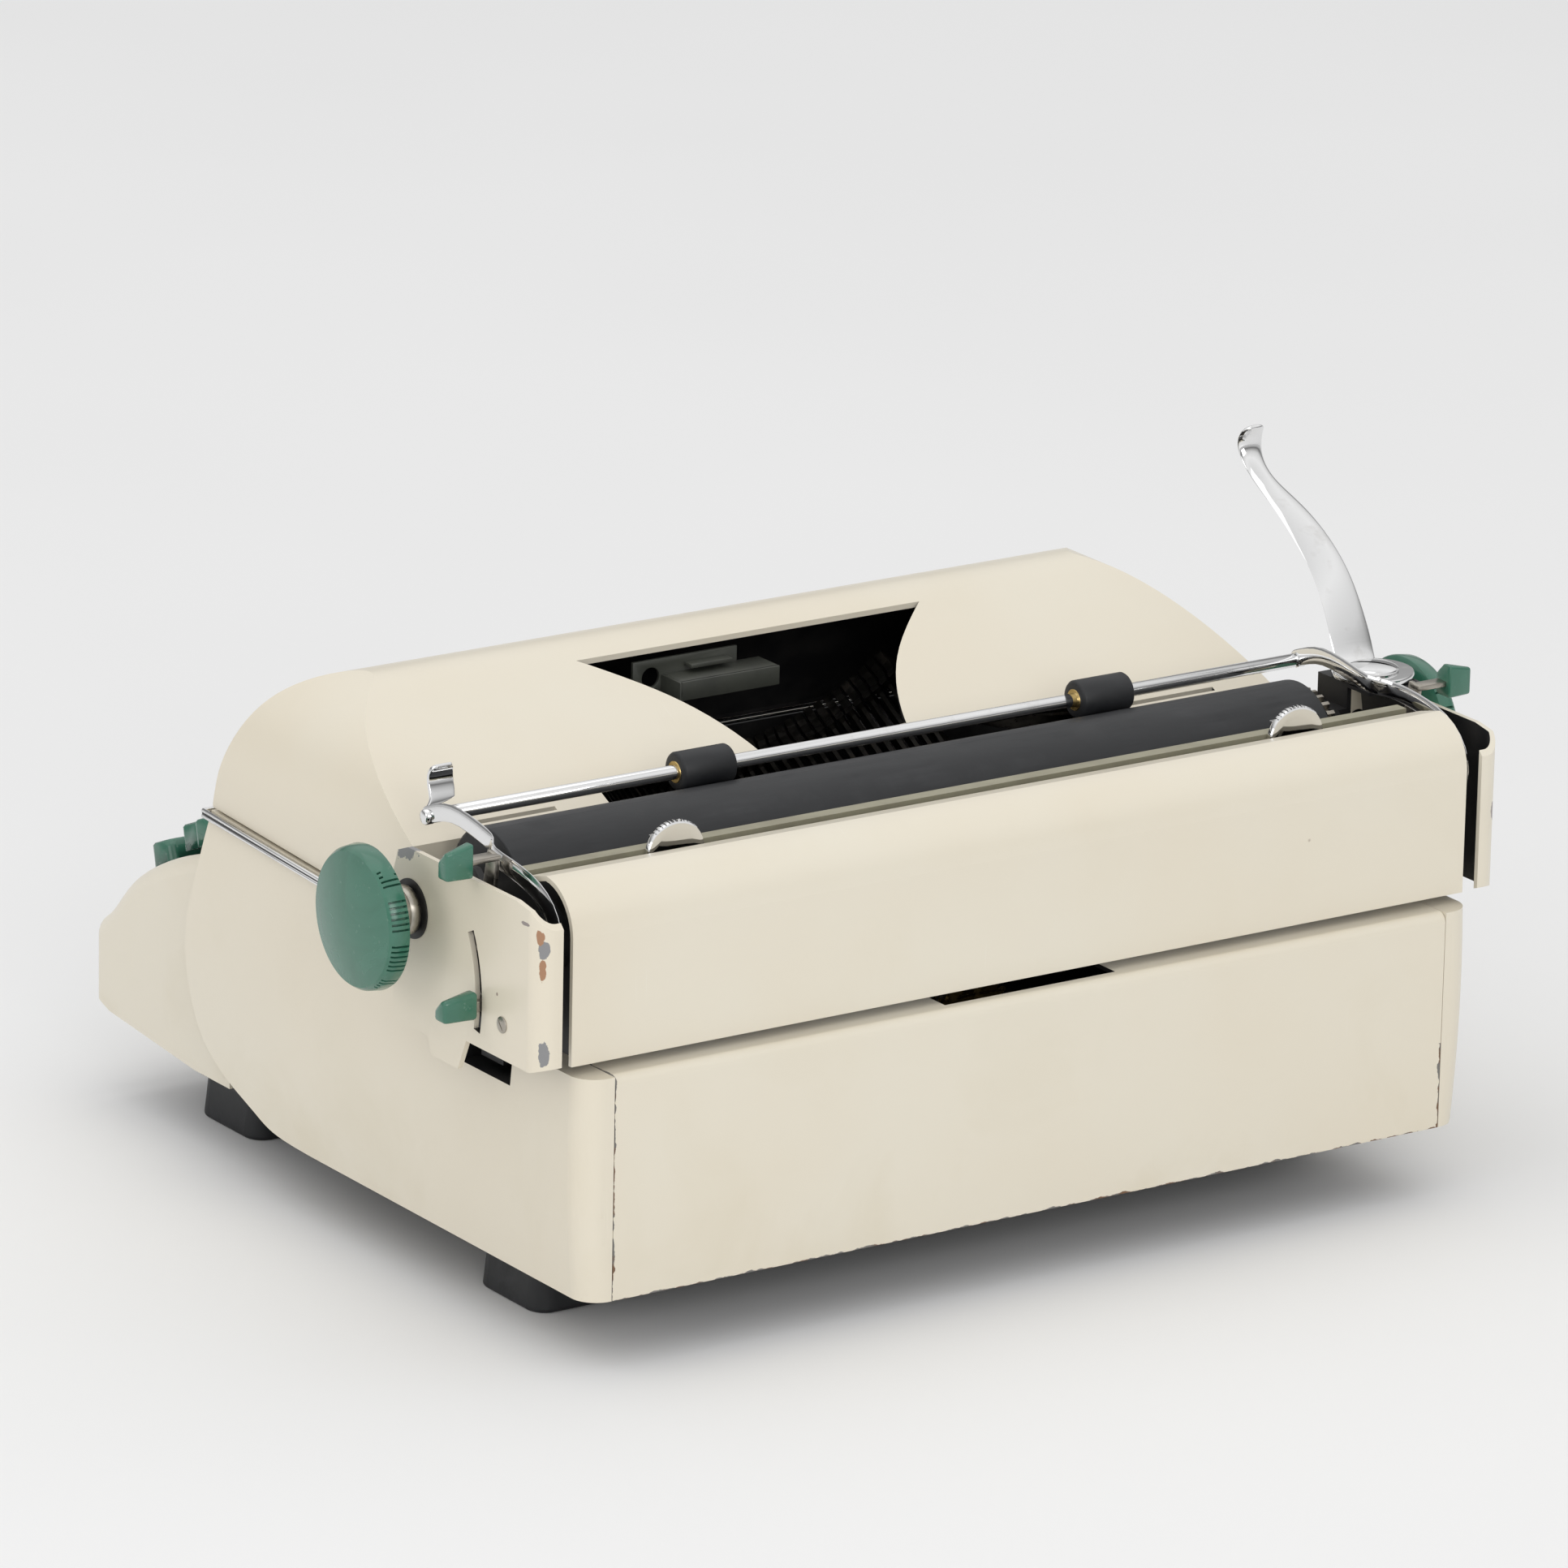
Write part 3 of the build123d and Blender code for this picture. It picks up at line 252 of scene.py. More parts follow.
def makeFleckGroup():
    # a few sharp specks, and hairline scratches, as masks
    inputs = [("Vector", "NodeSocketVector", (0, 0, 0)), ("Amount", "NodeSocketFloat", 0.5)]
    outputs = [("Fleck", "NodeSocketFloat"), ("Scratch", "NodeSocketFloat")]
    group, start, end = newGroup("flecksAndScratches", inputs, outputs)
    vector = start.outputs["Vector"]
    cells = group.nodes.new("ShaderNodeTexVoronoi")
    cells.inputs["Scale"].default_value = fleckLook["cells"]
    group.links.new(vector, cells.inputs["Vector"])
    near = addRange(group, cells.outputs["Distance"], *fleckLook["fleckEdge"])
    rare = group.nodes.new("ShaderNodeSeparateColor")
    group.links.new(cells.outputs["Color"], rare.inputs["Color"])
    chosen = addMath(group, "LESS_THAN", rare.outputs[0], start.outputs["Amount"])
    fleck = addMath(group, "MULTIPLY", near, chosen, clamp=True)
    stretch = group.nodes.new("ShaderNodeMapping")
    setInputs(stretch, {"Rotation": fleckLook["scratchTurn"], "Scale": fleckLook["scratchStretch"]})
    group.links.new(vector, stretch.inputs["Vector"])
    lines = addNoise(group, stretch.outputs["Vector"], 1.0, detail=2)
    patch = addNoise(group, vector, fleckLook["patches"], detail=2)
    thin = addRange(group, lines, *fleckLook["scratchEdge"])
    scratch = addMath(group, "MULTIPLY", thin, addRange(group, patch, *fleckLook["patchEdge"]), clamp=True)
    linkNodes(group, (fleck, end.inputs["Fleck"]), (scratch, end.inputs["Scratch"]))
    return group


wornLook = {
    "bandEdge": (0.92, 0.96),  # how sharply a worn edge ends
    "spotRagged": 1.5, "spotGrain": 420.0, "spotEdge": (1.70, 1.64),
}


def makeBandGroup():
    # mask of how near a point is to a plane of the object, broken up by noise, for worn edges
    inputs = [
        ("Vector", "NodeSocketVector", (0, 0, 0)),
        ("Place", "NodeSocketFloat", 0.0),
        ("Reach", "NodeSocketFloat", 0.002),
        ("Breakup", "NodeSocketFloat", 260.0),
        ("Cover", "NodeSocketFloat", 0.5),
        ("Measure", "NodeSocketFloat", 0.0),
    ]
    group, start, end = newGroup("wornBand", inputs, [("Mask", "NodeSocketFloat")])
    given = start.outputs
    apart = addMath(group, "ABSOLUTE", addMath(group, "SUBTRACT", given["Measure"], given["Place"]))
    nearness = addMath(group, "SUBTRACT", 1.0, addMath(group, "DIVIDE", apart, given["Reach"]), clamp=True)
    node = group.nodes.new("ShaderNodeTexNoise")
    node.inputs["Detail"].default_value = 5
    linkNodes(group, (given["Vector"], node.inputs["Vector"]), (given["Breakup"], node.inputs["Scale"]))
    cover = addMath(group, "MULTIPLY", nearness, given["Cover"])
    edge = addMath(group, "ADD", cover, node.outputs["Fac"])
    mask = addRange(group, edge, *wornLook["bandEdge"])
    group.links.new(mask, end.inputs["Mask"])
    return group


def makeSpotGroup():
    # mask of a ragged patch around a centre, with its own radii
    inputs = [("Vector", "NodeSocketVector", (0, 0, 0)), ("Centre", "NodeSocketVector", (0, 0, 0)),
              ("Radii", "NodeSocketVector", (0.01, 0.01, 0.01))]
    group, start, end = newGroup("wornSpot", inputs, [("Mask", "NodeSocketFloat")])
    steps = []
    for operation in ("SUBTRACT", "DIVIDE", "LENGTH"):
        step = group.nodes.new("ShaderNodeVectorMath")
        step.operation = operation
        steps.append(step)
    linkNodes(group, (start.outputs["Vector"], steps[0].inputs[0]),
              (start.outputs["Centre"], steps[0].inputs[1]), (steps[0].outputs[0], steps[1].inputs[0]),
              (start.outputs["Radii"], steps[1].inputs[1]), (steps[1].outputs[0], steps[2].inputs[0]))
    ragged = addNoise(group, start.outputs["Vector"], wornLook["spotGrain"], detail=5)
    rough = addMath(group, "MULTIPLY", ragged, wornLook["spotRagged"])
    reach = addMath(group, "ADD", steps[2].outputs["Value"], rough)
    group.links.new(addRange(group, reach, *wornLook["spotEdge"]), end.inputs["Mask"])
    return group


spotGroup = makeSpotGroup()
fleckGroup = makeFleckGroup()
bandGroup = makeBandGroup()


def newMaterial(name):
    material = bpy.data.materials.new(name)
    material.use_nodes = True
    tree = material.node_tree
    shader = tree.nodes["Principled BSDF"]
    coords = tree.nodes.new("ShaderNodeTexCoord").outputs["Object"]
    return material, tree, shader, coords


def addBump(tree, shader, height, strength, distance):
    bump = tree.nodes.new("ShaderNodeBump")
    setInputs(bump, {"Strength": strength, "Distance": distance})
    tree.links.new(height, bump.inputs["Height"])
    tree.links.new(bump.outputs["Normal"], shader.inputs["Normal"])


def useGroup(tree, group, **values):
    node = tree.nodes.new("ShaderNodeGroup")
    node.node_tree = group
    for name, value in values.items():
        if isinstance(value, bpy.types.NodeSocket):
            tree.links.new(value, node.inputs[name])
        else:
            node.inputs[name].default_value = value
    return node


def splitAxes(tree, vector):
    node = tree.nodes.new("ShaderNodeSeparateXYZ")
    tree.links.new(vector, node.inputs[0])
    return node.outputs


enamelLook = {
    "base": (0.765, 0.700, 0.570, 1),
    "faded": (0.785, 0.738, 0.625, 1),
    "yellowed": (0.690, 0.625, 0.480, 1),
    "primer": (0.170, 0.162, 0.150, 1),
    "rust": (0.165, 0.085, 0.040, 1),
    "bare": (0.250, 0.250, 0.255, 1),
    "rustBrown": (0.400, 0.200, 0.095, 1),
    "scratch": (0.88, 0.86, 0.80, 1),
    "speckAmount": 0.045, "speckShow": 0.65, "scratchShow": 0.30,
    "roughness": 0.36, "chipRoughness": 0.25,
    "coat": 0.25, "coatRoughness": 0.18,
    "bump": 0.16, "bumpHeight": 0.00025,
}


def makeEnamel(name, wear=(), spots=()):
    # cream enamel; wear lists (axis, place, reach, cover, low corner, high corner) of worn edges,
    # spots lists (centre, radii, share of rust) of chipped places, in millimetres
    material, tree, shader, coords = newMaterial(name)
    axes = splitAxes(tree, coords)
    cloud = addNoise(tree, coords, 9.0, detail=3)
    colour = addMix(tree, addRange(tree, cloud, 0.40, 0.66, 0.0, 0.7), enamelLook["base"], enamelLook["faded"])
    stain = addNoise(tree, coords, 22.0, detail=5, distortion=0.4)
    low = addRange(tree, axes[2], 0.075, 0.018, 0.0, 0.4)
    stained = addRange(tree, stain, 0.52, 0.75)
    stainMask = addMath(tree, "MULTIPLY", stained, addMath(tree, "ADD", low, 0.18), clamp=True)
    colour = addMix(tree, stainMask, colour, enamelLook["yellowed"])
    specks = useGroup(tree, fleckGroup, Vector=coords, Amount=enamelLook["speckAmount"])
    for mark, show, tint in (("Fleck", "speckShow", "rust"), ("Scratch", "scratchShow", "scratch")):
        shown = addMath(tree, "MULTIPLY", specks.outputs[mark], enamelLook[show])
        colour = addMix(tree, shown, colour, enamelLook[tint])
    chip = None
    for axis, place, reach, cover, lowCorner, highCorner in wear:
        band = useGroup(tree, bandGroup, Vector=coords, Measure=axes[axis],
                        Place=place, Reach=reach, Cover=cover)
        mask = band.outputs["Mask"]
        for number in range(3):
            above = addMath(tree, "GREATER_THAN", axes[number], lowCorner[number])
            mask = addMath(tree, "MULTIPLY", mask, above)
            below = addMath(tree, "LESS_THAN", axes[number], highCorner[number])
            mask = addMath(tree, "MULTIPLY", mask, below)
        chip = mask if chip is None else addMath(tree, "MAXIMUM", chip, mask)
    height = addNoise(tree, coords, 380.0, detail=2)
    gloss = enamelLook["roughness"]
    rough = addRange(tree, cloud, 0.3, 0.7, gloss - 0.04, gloss + 0.06)
    for centre, radii, rust in spots:
        spot = useGroup(tree, spotGroup, Vector=coords, Centre=[value * mm for value in centre],
                        Radii=[value * mm for value in radii])
        bare = addMix(tree, rust, enamelLook["bare"], enamelLook["rustBrown"])
        colour = addMix(tree, spot.outputs["Mask"], colour, bare)
    if chip is not None:
        blotch = addRange(tree, addNoise(tree, coords, 120.0, detail=3), 0.48, 0.56)
        colour = addMix(tree, chip, colour, addMix(tree, blotch, enamelLook["primer"], enamelLook["rust"]))
        dull = addMath(tree, "MULTIPLY", chip, enamelLook["chipRoughness"])
        rough = addMath(tree, "ADD", rough, dull)
        height = addMath(tree, "SUBTRACT", addMath(tree, "MULTIPLY", height, 0.08), chip)
    linkNodes(tree, (colour, shader.inputs["Base Color"]), (rough, shader.inputs["Roughness"]))
    setInputs(shader, {"Coat Weight": enamelLook["coat"], "Coat Roughness": enamelLook["coatRoughness"]})
    addBump(tree, shader, height, enamelLook["bump"], enamelLook["bumpHeight"])
    return material


greenLook = {
    "dark": (0.036, 0.145, 0.094, 1), "light": (0.048, 0.175, 0.118, 1), "dust": (0.30, 0.42, 0.36, 1),
    "gloss": (0.20, 0.30), "coat": 0.35, "coatRoughness": 0.12,
}


def makeGreen():
    material, tree, shader, coords = newMaterial("mouldedGreen")
    swirl = addNoise(tree, coords, 60.0, detail=4, distortion=1.2)
    colour = addMix(tree, addRange(tree, swirl, 0.35, 0.7), greenLook["dark"], greenLook["light"])
    dust = addNoise(tree, coords, 420.0, detail=3)
    colour = addMix(tree, addRange(tree, dust, 0.66, 0.80, 0.0, 0.35), colour, greenLook["dust"])
    linkNodes(tree, (colour, shader.inputs["Base Color"]))
    linkNodes(tree, (addRange(tree, swirl, 0.3, 0.7, *greenLook["gloss"]), shader.inputs["Roughness"]))
    setInputs(shader, {"Coat Weight": greenLook["coat"], "Coat Roughness": greenLook["coatRoughness"]})
    addBump(tree, shader, addNoise(tree, coords, 240.0, detail=2), 0.08, 0.0002)
    return material


metalGrain = (40.0, 900.0, 900.0)  # brushed lines run along the machine's width
rubberGrain = (30.0, 220.0, 220.0)


def makeMetal(name, colour, tarnish, roughness, cover):
    # cover is how far the tarnish shows in its spots
    material, tree, shader, coords = newMaterial(name)
    stretch = tree.nodes.new("ShaderNodeMapping")
    stretch.inputs["Scale"].default_value = metalGrain
    tree.links.new(coords, stretch.inputs["Vector"])
    brushed = addNoise(tree, stretch.outputs["Vector"], 1.0, detail=3)
    cloud = addNoise(tree, coords, 130.0, detail=5)
    spots = addRange(tree, cloud, 0.58, 0.72, 0.0, cover)
    linkNodes(tree, (addMix(tree, spots, colour, tarnish), shader.inputs["Base Color"]))
    satin = addRange(tree, brushed, 0.3, 0.7, roughness * 0.8, roughness * 1.3)
    rough = addMath(tree, "ADD", satin, spots)
    linkNodes(tree, (rough, shader.inputs["Roughness"]))
    shader.inputs["Metallic"].default_value = 1.0
    addBump(tree, shader, brushed, 0.05, 0.0001)
    return material


def makeRubber(name, colour, dusty, roughness):
    material, tree, shader, coords = newMaterial(name)
    streak = tree.nodes.new("ShaderNodeMapping")
    streak.inputs["Scale"].default_value = rubberGrain
    tree.links.new(coords, streak.inputs["Vector"])
    lines = addNoise(tree, streak.outputs["Vector"], 1.0, detail=4)
    cloud = addNoise(tree, coords, 70.0, detail=5)
    streaks = addRange(tree, lines, 0.35, 0.7)
    mix = addMath(tree, "MULTIPLY", addRange(tree, cloud, 0.4, 0.75), streaks, clamp=True)
    linkNodes(tree, (addMix(tree, mix, colour, dusty), shader.inputs["Base Color"]))
    rough = addRange(tree, cloud, 0.3, 0.7, roughness - 0.06, roughness + 0.1)
    linkNodes(tree, (rough, shader.inputs["Roughness"]))
    addBump(tree, shader, addNoise(tree, coords, 1100.0, detail=3), 0.25, 0.0001)
    return material


def makePaint(name, colour, other, roughness):
    material, tree, shader, coords = newMaterial(name)
    cloud = addNoise(tree, coords, 85.0, detail=5)
    tint = addMix(tree, addRange(tree, cloud, 0.42, 0.68), colour, other)
    rough = addRange(tree, cloud, 0.3, 0.7, roughness - 0.05, roughness + 0.1)
    linkNodes(tree, (tint, shader.inputs["Base Color"]), (rough, shader.inputs["Roughness"]))
    addBump(tree, shader, addNoise(tree, coords, 700.0, detail=3), 0.15, 0.0001)
    return material


everywhere = (-1, -1, -1), (1, 1, 1)

plateSpots = [
    # worn front top corner, rear upright edge and its lower corner
    ((156.0, 65.5, 130.4), (6.5, 8.0, 3.8), 0.0),
    ((158.5, 131.2, 120.2), (3.0, 1.2, 3.0), 0.0),
    ((158.5, 130.4, 123.6), (3.0, 0.9, 2.0), 0.9),
    ((158.5, 131.0, 114.6), (3.0, 0.7, 3.6), 0.9),
    ((158.5, 131.4, 91.5), (3.0, 1.2, 4.2), 0.0),
    ((159.5, 125.4, 126.4), (2.0, 2.2, 0.6), 0.2),
    ((159.5, 112.0, 103.0), (2.0, 0.4, 0.5), 0.4),
]
leftSpots = [
    ((-158.5, 131.0, 108.6), (3.0, 1.5, 2.8), 0.2),
    ((-156.0, 64.0, 130.8), (6.0, 4.0, 2.4), 0.0),
]

panelLow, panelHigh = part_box("rear_panel")
finishes = {
    "enamel": makeEnamel("creamEnamel"),
    "panelEnamel": makeEnamel("panelEnamel", [
        (0, panelHigh.x, 0.0016, 0.52, *everywhere),
        (0, panelLow.x, 0.0022, 0.60, (-1, -1, -1), (1, 1, 0.045)),
        (2, panelLow.z, 0.0012, 0.50, *everywhere),
    ]),
    "rightPlateEnamel": makeEnamel("rightPlateEnamel", spots=plateSpots),
    "leftPlateEnamel": makeEnamel("leftPlateEnamel", spots=leftSpots),
    "green_plastic": makeGreen(),
    "chrome": makeMetal("brightChrome", colour=(0.80, 0.80, 0.80, 1), tarnish=(0.45, 0.42, 0.38, 1),
                        roughness=0.07, cover=0.18),
    "black_rubber": makeRubber("agedRubber", colour=(0.012, 0.013, 0.015, 1),
                               dusty=(0.040, 0.041, 0.044, 1), roughness=0.50),
    "olive_metal": makePaint("olivePaint", colour=(0.33, 0.31, 0.22, 1), other=(0.27, 0.25, 0.18, 1),
                             roughness=0.42),
    # dark paint of the black parts; the same material carries the painted shade on the cover insides, slot
    # backing, front apron, bead line and shaft ring
    "dark_metal": makePaint("darkPaint", colour=(0.010, 0.010, 0.011, 1), other=(0.022, 0.021, 0.020, 1),
                            roughness=0.45),
    "bracketPaint": makePaint("bracketPaint", colour=(0.055, 0.058, 0.048, 1),
                              other=(0.038, 0.040, 0.034, 1), roughness=0.40),
    "plain_steel": makeMetal("plainSteel", colour=(0.42, 0.39, 0.34, 1), tarnish=(0.16, 0.11, 0.07, 1),
                             roughness=0.32, cover=0.6),
    # black steel: partly the dark finish of these parts, partly painted shade for the dark inside of the
    # machine
    "blackSteel": makeMetal("blackSteel", colour=(0.070, 0.066, 0.060, 1), tarnish=(0.10, 0.075, 0.05, 1),
                            roughness=0.38, cover=0.5),
    "brass": makeMetal("dullBrass", colour=(0.55, 0.40, 0.16, 1), tarnish=(0.20, 0.13, 0.06, 1),
                       roughness=0.30, cover=0.5),
}

nodeFinish = {
    "rear_panel": "panelEnamel",
    "end_plate_right": "rightPlateEnamel",
    "end_plate_left": "leftPlateEnamel",
    # type bars, segment, side frames and rail take the black steel, whose darkness is partly painted shade
    # inside the machine
    "type_bars": "blackSteel",
    "middle_type_bar": "blackSteel",
    "type_segment": "blackSteel",
    "side_frames": "blackSteel",
    "carriage_rail": "blackSteel",
}


def coatNodes():
    slots = {entry["node"]: entry["material_slot"] for entry in frame["record"]["subparts"]}
    for name, node in nodes.items():
        material = finishes[nodeFinish.get(name, slots[name])]
        node.data.materials.clear()
        node.data.materials.append(material)
    print("typewriter: every node has its finish")


coatNodes()

# knobs on the platen
knobLook = {
    "sides": 400,
    # grooves in clusters round the rim; turns in degrees
    "clusters": 10, "groovesEach": 6, "grooveTurn": 4.5, "start": 17.0, "grooveShare": 0.21,
    "grooveDepth": 1.1 * mm, "grooveWall": 0.10 * mm, "grooveBand": (5.0 * mm, 10.2 * mm),
    # domed end face, as shares of the knob's length and rim
    "crownStart": (0.823, 0.922), "crownWidth": 0.918, "crownHeight": 2.3 * mm, "crownArc": 13.2,
}


def makeKnob(side, sign):
    low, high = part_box(f"knob_{side}")
    centre = Vector((0, (low.y + high.y) / 2, (low.z + high.z) / 2))
    rim = (high.z - low.z) / 2
    inner = low.x if sign > 0 else -high.x
    outer = high.x if sign > 0 else -low.x
    face = outer - inner
    crown = [(inner + face * knobLook["crownStart"][0], rim * knobLook["crownStart"][1])]
    crownRadius = rim * knobLook["crownWidth"]
    for step in range(1, 7):
        radius = crownRadius * math.cos(step * math.pi / knobLook["crownArc"])
        crown.append((outer - knobLook["crownHeight"] * (radius / crownRadius) ** 2, radius))
    crown.append((outer, 0.35 * mm))
    profile = [
        (inner, 9.0 * mm),
        (inner, 10.0 * mm),
        (inner + 2.4 * mm, 12.6 * mm),
        (inner + 4.0 * mm, rim - 1.6 * mm),
        (inner + 4.9 * mm, rim - 0.25 * mm),
        (inner + 5.7 * mm, rim - 0.02 * mm),
        (inner + 9.0 * mm, rim - 0.45 * mm),
        (inner + 10.0 * mm, rim - 1.0 * mm),
    ] + crown
    knob = turnedPiece([(sign * place, radius) for place, radius in profile], centre, sides=knobLook["sides"])
    editWith(knob)
    pitch = math.radians(knobLook["grooveTurn"])
    cluster = 2 * math.pi / knobLook["clusters"]
    bandStart, bandEnd = knobLook["grooveBand"]

    def inGroove(point, normal):
        place = abs(point.x)
        if not inner + bandStart < place < inner + bandEnd or abs(normal.x) > 0.75:
            return False
        turn = math.atan2(point.z - centre.z, point.y - centre.y) - math.radians(knobLook["start"])
        share = turn / cluster
        offset = (share - round(share)) * 2 * math.pi / knobLook["clusters"]
        slot = offset / pitch + 0.5
        inCluster = abs(slot - 0.5) < knobLook["groovesEach"] / 2
        return inCluster and abs(slot - round(slot)) < knobLook["grooveShare"]

    pickFaces(knob, inGroove)
    bpy.ops.mesh.inset(thickness=knobLook["grooveWall"], depth=-knobLook["grooveDepth"],
                       use_individual=False)
    leaveEdit()
    smoothFaces(knob, 28)
    settlePiece(knob, f"knob{side.title()}", "platen", "green_plastic", [f"knob_{side}"])


hubLook = {
    # (place from the middle, radius) in millimetres
    "hub": ((161.0, 6.05), (161.0, 6.5), (161.6, 6.9), (163.4, 6.9), (164.0, 6.5), (164.0, 6.3),
            (166.4, 6.2), (168.0, 8.6)),
    "hole": ((160.02, 6.8), (160.02, 8.3), (160.30, 8.3), (160.30, 6.8)),
    "sides": 48,
}


def makeKnobHub(side, sign):
    # steel hub between plate and knob, and the dark ring where the shaft leaves the plate, painted shade for
    # the hole round the shaft
    shaftLow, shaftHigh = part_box("platen_shaft")
    centre = Vector((0, (shaftLow.y + shaftHigh.y) / 2, (shaftLow.z + shaftHigh.z) / 2))
    hub = turnedPiece(inMetres(hubLook["hub"], sign), centre, sides=hubLook["sides"])
    smoothFaces(hub, 40)
    settlePiece(hub, f"knobHub{side.title()}", "platen", "plain_steel")
    shadeRing = turnedPiece(inMetres(hubLook["hole"], sign), centre, sides=hubLook["sides"])
    settlePiece(shadeRing, f"shaftShadeRing{side.title()}", "carriage", "dark_metal")


for side, sign in (("Right", 1), ("Left", -1)):
    makeKnob(side.lower(), sign)
    makeKnobHub(side.lower(), sign)
print("typewriter: knobs turned")

# strips drawn along a path
def drawStrip(stations):
    # stations: (x, y, z, width along X, thickness across the path), in millimetres
    stations = [tuple(value * mm for value in station) for station in stations]
    x, y, z, width, thick = stations[0]
    dropSelection()
    bpy.ops.mesh.primitive_plane_add(size=1, location=(x, y, z))
    strip = bpy.context.object
    strip.scale = (width, thick, 1)
    bakePlace()
    bpy.ops.object.mode_set(mode="EDIT")
    bpy.ops.mesh.select_all(action="SELECT")
    heading = math.atan2(stations[1][2] - z, stations[1][1] - y)
    bpy.ops.transform.rotate(value=-(heading - math.pi / 2), orient_axis="X", center_override=(x, y, z))
    for number in range(1, len(stations)):
        nextX, nextY, nextZ, nextWidth, nextThick = stations[number]
        step = (nextX - x, nextY - y, nextZ - z)
        bpy.ops.mesh.extrude_region_move(TRANSFORM_OT_translate={"value": step})
        ahead = stations[min(number + 1, len(stations) - 1)]
        behind = stations[number - 1]
        nextHeading = math.atan2(ahead[2] - behind[2], ahead[1] - behind[1])
        centre = (nextX, nextY, nextZ)
        turn = (nextHeading - heading + math.pi) % (2 * math.pi) - math.pi
        bpy.ops.transform.rotate(value=-turn, orient_axis="X", center_override=centre)
        across = nextThick / thick
        bpy.ops.transform.resize(value=(nextWidth / width, across, across), center_override=centre)
        x, y, z, width, thick, heading = nextX, nextY, nextZ, nextWidth, nextThick, nextHeading
    leaveEdit()
    cleanNormals(strip)
    return strip


def drawBox(low, high):
    # a cube primitive stretched between two corners, in millimetres
    dropSelection()
    middle = [(a + b) / 2 * mm for a, b in zip(low, high)]
    bpy.ops.mesh.primitive_cube_add(size=1, location=middle)
    piece = bpy.context.object
    piece.scale = [(b - a) * mm for a, b in zip(low, high)]
    bakePlace()
    return piece


def mirrorCopy(piece):
    # the same piece on the other side of the machine
    useOnly(piece)
    bpy.ops.object.duplicate()
    other = bpy.context.object
    other.scale = (-1, 1, 1)
    bakePlace()
    cleanNormals(other)
    return other


# return lever
leverLook = {
    "x": -158.0,
    # stations along the blade: y, z, width, thickness
    "blade": [
        (68.0, 134.1, 14.6, 1.8), (65.6, 135.6, 14.4, 1.8), (63.8, 139.0, 15.9, 1.8), (61.2, 145.0, 14.9, 1.8),
        (55.6, 154.4, 14.3, 1.8), (49.4, 161.0, 13.8, 1.8), (41.0, 167.2, 12.9, 1.9), (33.0, 171.4, 11.5, 2.0),
        (27.0, 174.0, 9.9, 2.2), (22.0, 176.0, 8.5, 2.6), (17.6, 178.2, 7.8, 3.2), (14.0, 181.2, 8.0, 3.6),
        (12.0, 184.6, 9.2, 3.6), (11.8, 188.0, 9.9, 3.2), (13.2, 190.8, 9.2, 2.6), (15.4, 192.2, 6.2, 2.0),
    ],
    # round foot of the lever: height and radius of its rings, and its place in metres
    "hub": ((133.05, 10.6), (133.05, 11.5), (133.35, 11.8), (134.4, 11.8), (134.8, 11.5), (134.85, 8.0)),
    "hubY": 0.074,
}


def makeLever():
    middle = leverLook["x"]
    blade = drawStrip([(middle, *station) for station in leverLook["blade"]])
    addModifier(blade, "SUBSURF", levels=1, render_levels=1)
    roundEdges(blade, 0.35 * mm, 2, 40)
    addModifier(blade, "SUBSURF", levels=1, render_levels=1)
    hub = turnedPiece(inMetres(leverLook["hub"]), (middle * mm, leverLook["hubY"], 0), "Z", 72)
    lever = joinPieces([blade, hub])
    smoothFaces(lever, 50)
    settlePiece(lever, "returnLever", "line_lever", "chrome", ["return_lever"])


screwLook = {"slot": 0.085, "slotReach": 1.2, "domeArc": 7.6, "sides": 72}


def makeScrew(name, centre, axis, base, radius, height, turn, body):
    # domed screw head with a slot across it; the head stands on base along the axis
    rings = [(base, radius * 0.98), (base + height * 0.25, radius)]
    for step in range(1, 8):
        angle = step * math.pi / 2 / screwLook["domeArc"]
        rings.append((base + height * (0.25 + 0.75 * math.sin(angle)), radius * math.cos(angle)))
    screw = turnedPiece(inMetres(rings), [value * mm for value in centre], axis, screwLook["sides"])
    reach = radius * screwLook["slotReach"]
    half = radius * screwLook["slot"]
    cutter = drawBox((-reach, -half, -height * 0.5), (reach, half, height))
    if axis == "X":
        cutter.rotation_euler = (turn, 0, 0)
        cutter.location = ((base + height) * mm, centre[1] * mm, centre[2] * mm)
        cutter.scale = (0.6 * height / reach * 0.5, 1, radius * 1.5 / height)
    else:
        cutter.rotation_euler = (0, 0, turn)
        cutter.location = (centre[0] * mm, centre[1] * mm, (base + height * 0.95) * mm)
    useOnly(cutter)
    bakePlace()
    addModifier(screw, "BOOLEAN", object=cutter, operation="DIFFERENCE", solver="EXACT")
    bpy.data.objects.remove(cutter)
    smoothFaces(screw, 30)
    return settlePiece(screw, name, body, "chrome")


makeLever()
leverScrew = makeScrew("leverScrew", centre=(-158, 74, 0), axis="Z", base=134.9, radius=7.25, height=2.1,
                       turn=math.radians(-50), body="carriage")
plateScrew = makeScrew("plateScrew", centre=(0, 114.7, 95.2), axis="X", base=160.05, radius=2.3, height=0.6,
                       turn=math.radians(40), body="carriage")
plateScrew.data.materials[0] = finishes["plain_steel"]
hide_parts("carriage_screws")
print("typewriter: return lever and screws shaped")

